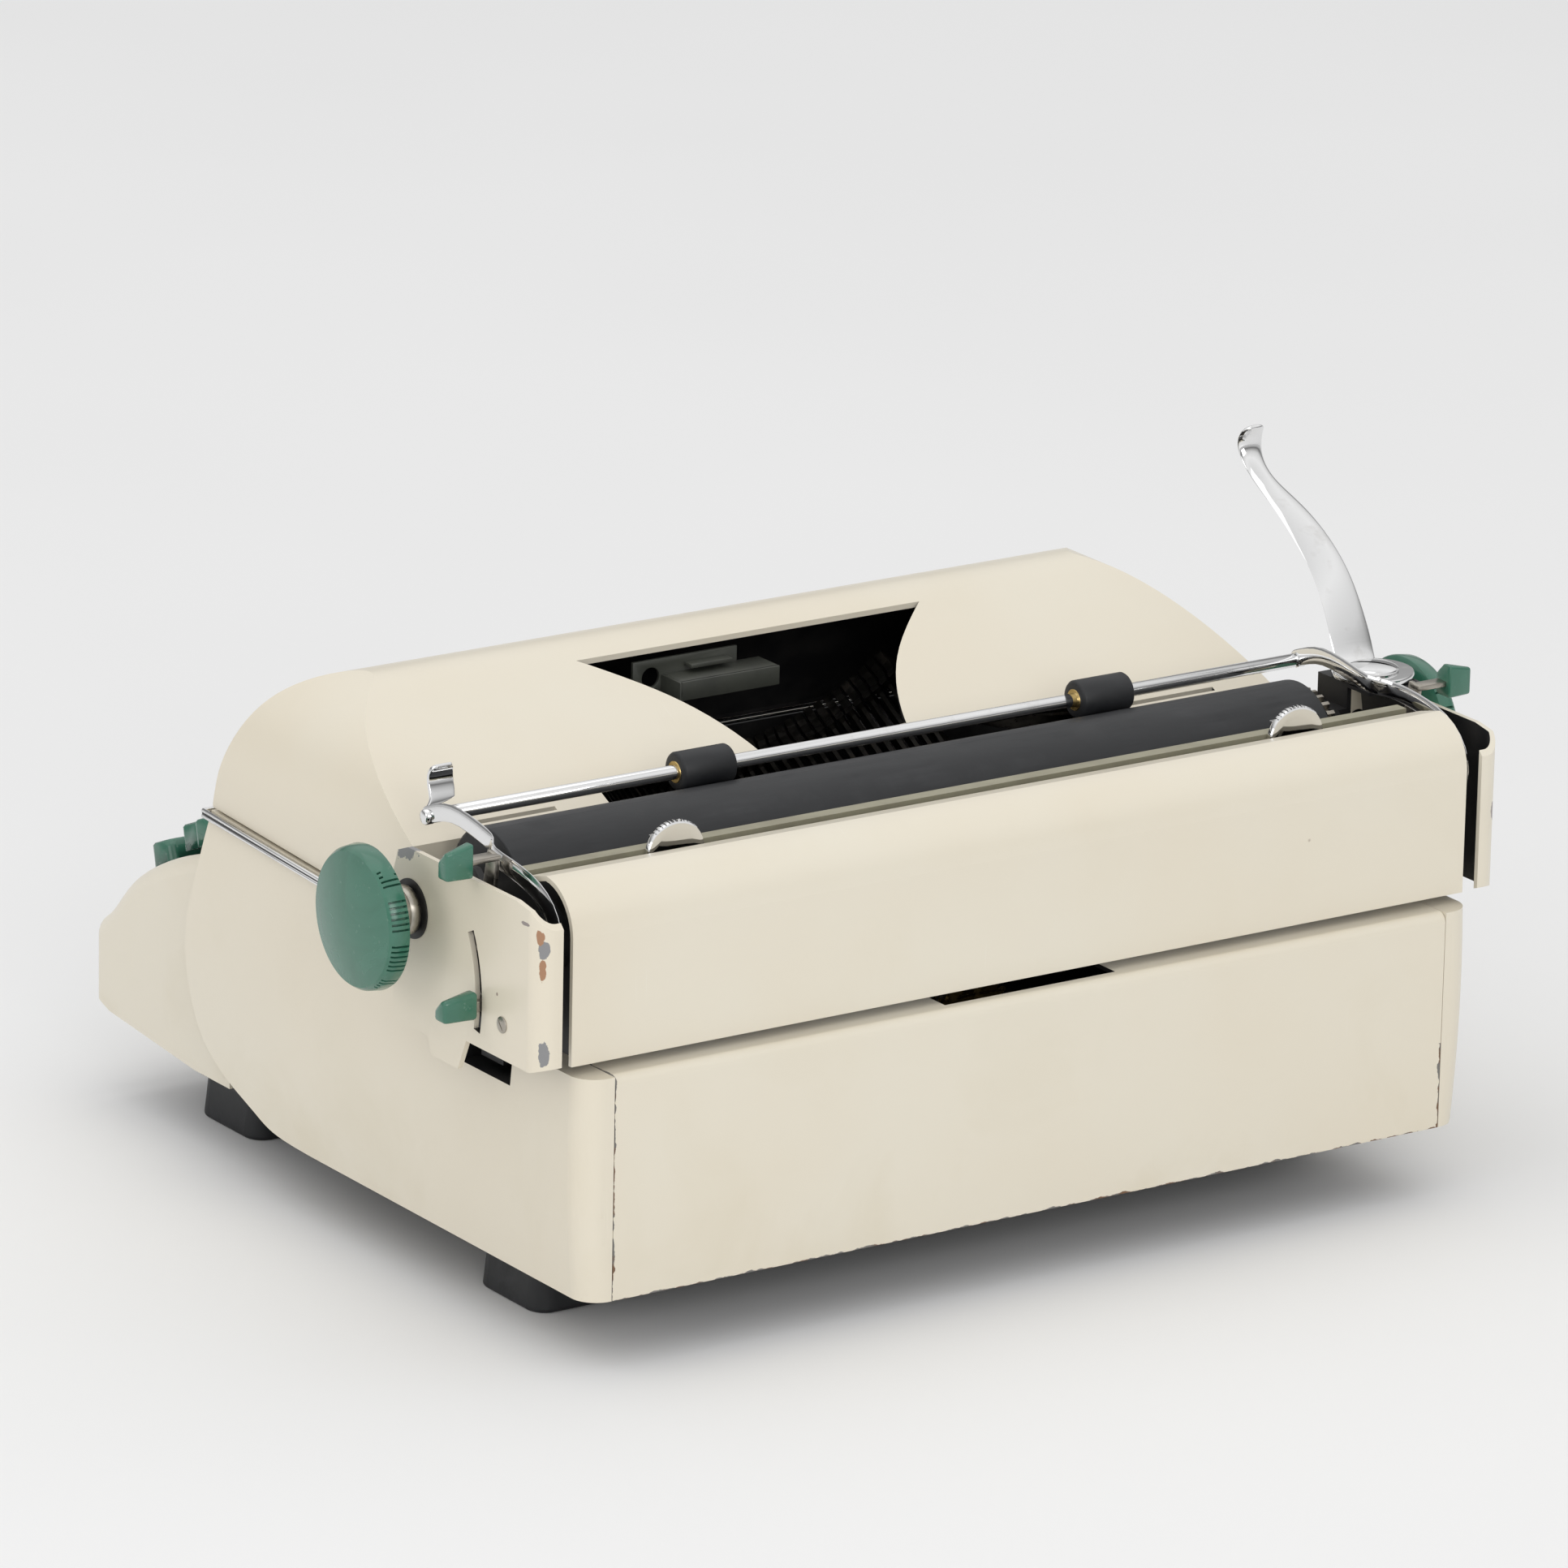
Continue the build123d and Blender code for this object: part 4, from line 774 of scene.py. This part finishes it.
# paper bail
bailLook = {
    # stations of the right arm: x, y, z, width along X, height of the strip
    "arm": [
        (145.7, 51.6, 134.8, 1.4, 3.0), (145.7, 53.0, 134.8, 1.4, 5.2), (145.7, 57.0, 136.0, 1.4, 5.6),
        (145.7, 62.5, 138.2, 1.4, 5.8), (145.7, 70.0, 138.8, 1.4, 6.0), (145.7, 80.0, 137.2, 1.4, 6.2),
        (145.8, 87.0, 135.9, 1.4, 6.0), (148.2, 90.6, 135.5, 1.4, 6.0), (150.6, 94.0, 135.1, 1.4, 6.0),
        (150.7, 104.0, 134.4, 1.4, 6.2), (150.7, 113.0, 132.8, 1.4, 6.8), (150.7, 120.0, 130.0, 1.4, 7.6),
        (150.7, 124.4, 125.4, 1.4, 8.4), (150.7, 125.4, 120.6, 1.4, 9.4), (150.7, 123.8, 115.8, 1.4, 10.0),
        (150.7, 121.4, 111.6, 1.4, 9.6), (150.7, 120.0, 108.6, 1.4, 6.0),
    ],
    # stations of the lift tab: x, y, z, width, thickness
    "tab": [
        (143.4, 53.4, 136.9, 4.6, 1.3), (140.4, 53.0, 138.4, 7.6, 1.3), (140.0, 51.9, 140.6, 8.0, 1.3),
        (140.0, 51.0, 143.0, 8.0, 1.3), (140.0, 51.1, 145.4, 7.8, 1.3), (140.0, 52.0, 147.2, 7.0, 1.3),
        (140.0, 53.2, 147.9, 4.8, 1.1),
    ],
    # places in metres; rings and roller places in millimetres
    "rod": (0, 0.0547, 0.1346),
    "rodRings": ((-145.0, 1.6), (-144.6, 2.0), (144.6, 2.0), (145.0, 1.6)),
    "rivet": ((145.0, 2.2), (147.1, 2.2), (147.6, 1.7), (147.7, 0.3)),
    "pivot": (0, 0.120, 0.112),
    "pivotRings": ((150.0, 2.9), (152.0, 2.9), (152.3, 2.5), (152.3, 0.3)),
    "rollers": (("Right", 57.5), ("Left", -76.5)),
    "rollerRings": ((-8.75, 2.9), (-8.75, 4.6), (-8.35, 5.2), (-7.9, 5.5), (7.9, 5.5), (8.35, 5.2),
                    (8.75, 4.6), (8.75, 2.9), (8.3, 2.4), (-8.3, 2.4)),
    "bushRings": ((-8.95, 2.12), (-8.95, 3.0), (-8.6, 3.2), (8.6, 3.2), (8.95, 3.0), (8.95, 2.12)),
}


def makeBail():
    arm = drawStrip(bailLook["arm"])
    addModifier(arm, "SUBSURF", levels=1, render_levels=1)
    roundEdges(arm, 0.25 * mm, 1, 40)
    other = mirrorCopy(arm)
    tab = drawStrip(bailLook["tab"])
    roundEdges(tab, 0.3 * mm, 2, 40)
    addModifier(tab, "SUBSURF", levels=2, render_levels=2)
    rod = turnedPiece(inMetres(bailLook["rodRings"]), bailLook["rod"], "X", 48)
    rivets = []
    for side in (-1, 1):
        rivets.append(turnedPiece(inMetres(bailLook["rivet"], side), bailLook["rod"], "X", 24))
        rivets.append(turnedPiece(inMetres(bailLook["pivotRings"], side), bailLook["pivot"], "X", 24))
    bail = joinPieces([arm, other, tab, rod] + rivets)
    smoothFaces(bail, 45)
    settlePiece(bail, "paperBail", "bail", "chrome", ["bail_arms", "bail_bar"])


def makeBailRoller(side, x):
    outer = [(x + place, radius) for place, radius in bailLook["rollerRings"]]
    body = turnedPiece(inMetres(outer), bailLook["rod"], "X", 64)
    smoothFaces(body, 35)
    name = f"bailRoller{side}"
    carrier = f"{side.lower()}_bail_roller"
    settlePiece(body, name, carrier, "black_rubber", [f"bail_roller_{side.lower()}"])
    rings = [(x + place, radius) for place, radius in bailLook["bushRings"]]
    bush = turnedPiece(inMetres(rings), bailLook["rod"], "X", 40)
    smoothFaces(bush, 35)
    settlePiece(bush, f"bailBush{side}", carrier, "brass")


makeBail()
for side, x in bailLook["rollers"]:
    makeBailRoller(side, x)
print("typewriter: paper bail made")

# margin stops, release levers and their grips
stopLook = {
    # places across the machine and heights in millimetres, turn of one knurl in degrees
    "places": (("right", 100.0), ("left", -107.0)),
    "radius": 9.2, "centre": 131.2, "cutOff": 127.2,
    "knurls": 13, "knurlTurn": 7.6, "knurlShare": 0.24, "knurlDepth": 0.7 * mm, "knurlWall": 0.06 * mm,
}


def makeMarginStop(side, x):
    # chrome tab with a knurled rim, dished on its rear face, on a small slide
    low = stopLook["centre"]
    radius = stopLook["radius"]
    rings = [(104.7, radius - 0.9), (104.9, radius - 0.2), (105.4, radius), (106.4, radius),
             (106.9, radius - 0.3), (107.05, radius - 1.2), (106.5, radius - 3.0), (106.2, radius - 6.0),
             (106.1, 0.6)]
    tab = turnedPiece(inMetres(rings), (x * mm, 0, low * mm), "Y", 136)
    editWith(tab)

    def inKnurl(point, normal):
        reach = math.hypot(point.x - x * mm, point.z - low * mm)
        angle = math.degrees(math.atan2(point.x - x * mm, point.z - low * mm))
        turn = angle / stopLook["knurlTurn"]
        onRim = reach > (radius - 0.6) * mm and abs(turn) < stopLook["knurls"] / 2
        return onRim and abs(turn - round(turn)) < stopLook["knurlShare"]

    pickFaces(tab, inKnurl)
    bpy.ops.mesh.inset(thickness=stopLook["knurlWall"], depth=-stopLook["knurlDepth"], use_individual=False)
    bpy.ops.mesh.select_all(action="SELECT")
    bpy.ops.mesh.bisect(plane_co=(0, 0, stopLook["cutOff"] * mm), plane_no=(0, 0, 1),
                        clear_inner=True, use_fill=True)
    leaveEdit()
    shoe = drawBox((x - 3.6, 98.4, 133.35), (x + 3.6, 105.2, 134.8))
    roundEdges(shoe, 0.3 * mm, 2, 40)
    stop = joinPieces([tab, shoe])
    cleanNormals(stop)
    smoothFaces(stop, 30)
    settlePiece(stop, f"marginStop{side.title()}", f"{side}_margin_stop", "chrome", [f"margin_stop_{side}"])


gripLook = {"taper": (1, 0.72, 0.80), "cut": 3.2 * mm, "soft": 1.1 * mm}


def makeGrip(low, high):
    # moulded grip: a block that narrows outwards, its top front corner cut away and its edges soft
    grip = drawBox(low, high)
    editWith(grip)
    pickFaces(grip, lambda point, normal: normal.x > 0.9)
    middle = [(a + b) / 2 * mm for a, b in zip(low, high)]
    foot = (high[0] * mm, middle[1] + 0.6 * mm, low[2] * mm)
    bpy.ops.transform.resize(value=gripLook["taper"], center_override=foot)

    def onTopFront(a, b):
        return a.z > middle[2] and b.z > middle[2] and abs(a.x - b.x) > 0.004 and a.y < middle[1]

    pickEdges(grip, onTopFront)
    bpy.ops.mesh.bevel(offset=gripLook["cut"], segments=1, affect="EDGES")
    leaveEdit()
    roundEdges(grip, gripLook["soft"], 3, 25)
    smoothFaces(grip, 30)
    return grip


releaseLook = {
    # stations of the arm: x, y, z, width, thickness; boxes as two corners
    "arm": [
        (153.55, 94.0, 108.8, 1.5, 5.0), (153.55, 94.0, 111.0, 1.5, 7.0), (153.55, 95.4, 118.0, 1.5, 6.0),
        (153.55, 98.2, 130.0, 1.5, 5.0), (153.55, 99.6, 138.0, 1.5, 4.6),
    ],
    "shelf": ((152.8, 97.8, 136.4), (163.0, 102.2, 137.9)),
    "grip": ((162.4, 97.2, 133.2), (170.6, 103.8, 143.0)),
}


def makeRelease(side, sign):
    # carriage release lever; the left one is a mirrored copy
    arm = drawStrip(releaseLook["arm"])
    shelf = drawBox(*releaseLook["shelf"])
    lever = joinPieces([arm, shelf])
    roundEdges(lever, 0.3 * mm, 2, 40)
    smoothFaces(lever, 35)
    grip = makeGrip(*releaseLook["grip"])
    if sign < 0:
        plain = [lever, grip]
        lever, grip = [mirrorCopy(piece) for piece in plain]
        for piece in plain:
            bpy.data.objects.remove(piece)
        smoothFaces(lever, 35)
        smoothFaces(grip, 30)
    body = f"{side}_release"
    settlePiece(lever, f"releaseArm{side.title()}", body, "plain_steel", [f"carriage_release_{side}"])
    settlePiece(grip, f"releaseGrip{side.title()}", body, "green_plastic")


paperReleaseLook = {
    "arm": [
        (155.8, 57.0, 98.0, 1.6, 6.6), (155.8, 63.0, 98.0, 1.6, 7.0), (155.8, 80.0, 97.4, 1.6, 5.2),
        (155.8, 96.0, 96.8, 1.6, 4.0), (155.8, 104.2, 96.7, 1.6, 3.4),
    ],
    "pin": ((155.0, 102.0, 95.6), (163.4, 104.0, 98.8)),
    "grip": ((162.2, 99.0, 94.4), (172.4, 106.4, 102.2)),
}


def makePaperRelease():
    arm = drawStrip(paperReleaseLook["arm"])
    pin = drawBox(*paperReleaseLook["pin"])
    lever = joinPieces([arm, pin])
    roundEdges(lever, 0.3 * mm, 2, 40)
    smoothFaces(lever, 35)
    settlePiece(lever, "paperReleaseArm", "paper_lever", "plain_steel", ["paper_release"])
    grip = makeGrip(*paperReleaseLook["grip"])
    settlePiece(grip, "paperReleaseGrip", "paper_lever", "green_plastic")


for side, x in stopLook["places"]:
    makeMarginStop(side, x)
makeRelease("right", 1)
makeRelease("left", -1)
makePaperRelease()
print("typewriter: margin stops and release levers made")

# painted shells with black insides, the black being painted shade
shellLook = {
    # body, finish outside, and a point inside that the faces with painted shade look towards
    "hood_shell": ("hood", "enamel", (0, -10, 96)),
    "end_plate_right": ("carriage", "rightPlateEnamel", (148, 96, 106)),
    "end_plate_left": ("carriage", "leftPlateEnamel", (-148, 96, 106)),
    "rear_cover": ("carriage", "enamel", (0, 104, 108)),
    "side_cover_right": ("frame", "enamel", (120, 30, 60)),
    "side_cover_left": ("frame", "enamel", (-120, 30, 60)),
    "rear_panel": ("frame", "panelEnamel", (0, 90, 50)),
    "keyboard_housing": ("frame", "enamel", (0, -80, 40)),
}


def looseCopy(node):
    # a copy of a CAD piece, free of its parent, with the shading normals of the original
    useOnly(nodes[node])
    bpy.ops.object.duplicate()
    copy = bpy.context.object
    for key in list(copy.keys()):
        del copy[key]
    copy.parent = None
    return copy


def mergeDoubles(piece):
    editWith(piece)
    bpy.ops.mesh.select_all(action="SELECT")
    bpy.ops.mesh.remove_doubles(threshold=2e-6)
    leaveEdit()


insideShadeLook = {
    "facing": 0.30, "smallest": 6e-8,  # how squarely a face looks inwards, and its least area
    "notchY": (73.5 * mm, 102.5 * mm), "notchZ": 71.5 * mm,  # cut edges of the side covers
}


def makeShell(node, body, finish, middle):
    # a copy of the pressed cover whose faces that look towards the inside carry black paint as painted shade
    shell = looseCopy(node)
    settlePiece(shell, camelName(node), body, "enamel", [node], finish)
    shell.data.materials.append(finishes["dark_metal"])
    centre = Vector(middle) * mm
    front, rear = insideShadeLook["notchY"]
    for face in shell.data.polygons:
        inward = (centre - face.center).normalized()
        # faces in the cut of the side covers get the black paint too, painted shade in the notch
        notch = node.startswith("side_cover") and front < face.center.y < rear
        shaded = notch and face.center.z > insideShadeLook["notchZ"] and abs(face.normal.x) < 0.5
        inside = face.normal.dot(inward) > insideShadeLook["facing"] and face.area > insideShadeLook["smallest"]
        if shaded or inside:
            face.material_index = 1


for node, (body, finish, middle) in shellLook.items():
    makeShell(node, body, finish, middle)
print("typewriter: covers painted")

# bright double bead along the sides with a line of painted shade between, and the bracket inside the mouth
# groove is the radius of the dark line between the beads, which is painted shade
beadLook = {"front": (-58.6, 105.0), "rear": (44.4, 99.9), "radius": 0.66, "apart": 0.74, "groove": 0.42}


def beadLines(radius, shifts):
    # round lines down both sides and across the front, all at the given heights
    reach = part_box("trim_beads")[1].x / mm - beadLook["radius"]
    frontY, frontZ = beadLook["front"]
    rearY, rearZ = beadLook["rear"]
    length = math.hypot(rearY - frontY, rearZ - frontZ)
    parts = []
    for shift in shifts:
        for side in (-1, 1):
            rings = [(-0.6, radius * 0.5), (-0.2, radius), (length - 0.4, radius), (length, radius * 0.5)]
            foot = (side * reach * mm, frontY * mm, (frontZ + shift) * mm)
            line = turnedPiece(inMetres(rings), foot, "Y", 20)
            line.rotation_euler.x += math.atan2(rearZ - frontZ, rearY - frontY)
            parts.append(line)
        across = inMetres([(-reach, radius), (reach, radius)])
        parts.append(turnedPiece(across, (0, frontY * mm, (frontZ + shift) * mm), "X", 20))
    piece = joinPieces(parts)
    smoothFaces(piece, 40)
    return piece


def makeBeads():
    bright = beadLines(beadLook["radius"], (-beadLook["apart"], beadLook["apart"]))
    settlePiece(bright, "sideBeads", "frame", "chrome", ["trim_beads"])
    # dark line between the bright beads, painted shade in the groove between them
    groove = beadLines(beadLook["groove"], (0,))
    settlePiece(groove, "beadGroove", "frame", "dark_metal")


bracketLook = {
    "back": ((4.0, -9.2, 133.0), (39.0, -8.0, 145.2)),
    "folds": (((-4.0, -9.0, 139.4), (29.5, 1.6, 140.6)), ((-4.0, 0.6, 135.0), (29.5, 1.8, 140.6)),
              ((28.4, -8.4, 124.0), (29.6, 1.8, 140.6)), ((8.0, -8.2, 142.0), (22.0, -4.0, 143.2))),
    "hole": ((-12, 2.9), (-6, 2.9)), "holeAt": (33.0 * mm, 0, 140.0 * mm),
}


def makeMouthBracket():
    # bent dark bracket with a round hole, seen through the mouth of the hood
    back = drawBox(*bracketLook["back"])
    hole = turnedPiece(inMetres(bracketLook["hole"]), bracketLook["holeAt"], "Y", 32)
    addModifier(back, "BOOLEAN", object=hole, operation="DIFFERENCE", solver="EXACT")
    bpy.data.objects.remove(hole)
    bracket = joinPieces([back] + [drawBox(*corners) for corners in bracketLook["folds"]])
    roundEdges(bracket, 0.3 * mm, 2, 40)
    smoothFaces(bracket, 35)
    settlePiece(bracket, "mouthBracket", "frame", "dark_metal", finish="bracketPaint")


makeBeads()
makeMouthBracket()
print("typewriter: beads and bracket made")

# keys: black levers and dished green tops
keyLook = {
    "dish": 0.55 * mm, "rim": 1.1 * mm,
    "longest": 0.045, "topsEnd": -0.062,  # in metres: depth past which a part is a lever, rear end of the tops
}


def makeKeySet(node, body):
    copy = looseCopy(node)
    mergeDoubles(copy)
    editWith(copy)
    bpy.ops.mesh.separate(type="LOOSE")
    leaveEdit()
    parts = list(bpy.context.selected_objects)
    flatParts = [part for part in parts if part.dimensions.y > keyLook["longest"]]
    topParts = [part for part in parts if part not in flatParts]
    name = camelName(node)
    stands = [node]
    if flatParts:
        levers = joinPieces(flatParts)
        smoothFaces(levers, 30)
        settlePiece(levers, f"{name}Levers", body, "plain_steel", stands, "blackSteel")
        stands = []
    if not topParts:
        levers.data.materials.append(finishes["green_plastic"])
        for face in levers.data.polygons:
            if face.center.y < keyLook["topsEnd"]:
                face.material_index = 1
        return
    tops = joinPieces(topParts)
    editWith(tops)

    def onTop(point, normal):
        return normal.z > 0.89 and abs(normal.x) < 0.05 and normal.y < -0.2

    pickFaces(tops, onTop)
    bpy.ops.mesh.inset(thickness=keyLook["rim"], depth=-keyLook["dish"], use_individual=False)
    leaveEdit()
    smoothFaces(tops, 42)
    settlePiece(tops, f"{name}Tops", body, "green_plastic", stands)


shadePlateLook = {
    "slotBacking": ((152.35, 84.0, 90.0), (152.65, 116.0, 126.0)),
    "frontApron": ((-129.0, -60.6, 52.0), (129.0, -59.8, 103.0)),
}


def makeSlotShadePlate():
    # dark plate seen through the curved slot of the right end plate, painted shade for the dark inside of the
    # carriage
    shadePlate = drawBox(*shadePlateLook["slotBacking"])
    settlePiece(shadePlate, "slotBacking", "carriage", "dark_metal")


def makeShadeApron():
    # black plate that closes the front under the hood, above the key levers: painted shade for the dark inside
    # under the hood
    shadeApron = drawBox(*shadePlateLook["frontApron"])
    roundEdges(shadeApron, 0.2 * mm, 1, 40)
    settlePiece(shadeApron, "frontApron", "frame", "dark_metal")


functionKeys = (
    "shift_keys", "shift_lock_key", "tabulator_key", "margin_release_key", "paragraph_key",
    "ribbon_reverse_key", "backspace_key", "space_bar", "centre_letter_key")
keyNodes = [name for name in nodes if name.startswith("key_row") or name in functionKeys]
for node in keyNodes:
    makeKeySet(node, "centre_key" if node == "centre_letter_key" else node)
makeSlotShadePlate()
makeShadeApron()
print("typewriter: keys and apron made")

# stage, light and camera
stageLook = {
    "floor": (0.845, 0.845, 0.845, 1), "paleFloor": (0.86, 0.86, 0.86, 1),
    "camera": (1.6598, 2.4412, 1.0299),
    "forward": (-0.5382, -0.7881, -0.2987),
    "right": (-0.8258, 0.5640, 0.0),
    "roll": 1.19,
    "lens": 252.3,
    "world": 0.80,
    # share of the way from straight down to straight up, and brightness there
    "air": ((0.0, 0.30), (0.44, 0.30), (0.52, 0.75), (0.60, 0.22), (0.72, 0.95), (0.86, 1.25), (1.0, 1.05)),
    # name, place, target, size and power
    "lights": (
        ("topSoftbox", (0.35, -0.35, 1.9), (0, 0, 0.05), (1.5, 1.5), 4),
        ("sideSoftbox", (2.7, 0.1, 0.9), (0, 0, 0.08), (1.4, 1.0), 7),
        ("rearSoftbox", (0.9, 2.6, 1.1), (0, 0.05, 0.08), (1.8, 1.1), 20),
    ),
}


def makeFloor():
    dropSelection()
    bpy.ops.mesh.primitive_plane_add(size=16, location=(0, 0, 0))
    floor = bpy.context.object
    floor.name = "studioFloor"
    material, tree, shader, coords = newMaterial("studioPaper")
    cloud = addNoise(tree, coords, 3.0, detail=2)
    tint = addMix(tree, addRange(tree, cloud, 0.3, 0.7), stageLook["floor"], stageLook["paleFloor"])
    linkNodes(tree, (tint, shader.inputs["Base Color"]))
    setInputs(shader, {"Roughness": 0.9, "Specular IOR Level": 0.0})
    floor.data.materials.append(material)


def makeLight(name, place, target, size, power):
    light = bpy.data.lights.new(name, "AREA")
    light.shape = "RECTANGLE"
    light.size, light.size_y = size
    light.energy = power
    lamp = bpy.data.objects.new(name, light)
    bpy.context.scene.collection.objects.link(lamp)
    lamp.location = place
    lamp.rotation_euler = (Vector(target) - Vector(place)).to_track_quat("-Z", "Y").to_euler()


def makeCamera():
    camera = bpy.data.cameras.new("viewCamera")
    camera.lens = stageLook["lens"]
    camera.sensor_width = 36
    camera.clip_end = 30
    holder = bpy.data.objects.new("viewCamera", camera)
    bpy.context.scene.collection.objects.link(holder)
    forward = Vector(stageLook["forward"]).normalized()
    right = Vector(stageLook["right"]).normalized()
    up = right.cross(forward)
    roll = math.radians(stageLook["roll"])
    rightRolled = right * math.cos(roll) + up * math.sin(roll)
    upRolled = up * math.cos(roll) - right * math.sin(roll)
    turn = Matrix((rightRolled, upRolled, -forward)).transposed()
    holder.matrix_world = Matrix.Translation(stageLook["camera"]) @ turn.to_4x4()
    bpy.context.scene.camera = holder


def makeWorld():
    world = bpy.data.worlds.new("studioAir")
    bpy.context.scene.world = world
    world.use_nodes = True
    tree = world.node_tree
    backdrop = tree.nodes["Background"]
    backdrop.inputs["Strength"].default_value = stageLook["world"]
    coords = tree.nodes.new("ShaderNodeTexCoord").outputs["Generated"]
    height = splitAxes(tree, coords)[2]
    ramp = tree.nodes.new("ShaderNodeValToRGB")
    stops = stageLook["air"]
    while len(ramp.color_ramp.elements) < len(stops):
        ramp.color_ramp.elements.new(0.5)
    for element, (place, level) in zip(ramp.color_ramp.elements, stops):
        element.position = place
        element.color = (level, level, level, 1)
    linkNodes(tree, (addRange(tree, height, -1.0, 1.0), ramp.inputs["Fac"]),
              (ramp.outputs["Color"], backdrop.inputs["Color"]))


makeFloor()
makeWorld()
for light in stageLook["lights"]:
    makeLight(*light)
makeCamera()
bpy.context.scene.view_settings.view_transform = "Standard"
print("typewriter: stage, light and camera set")
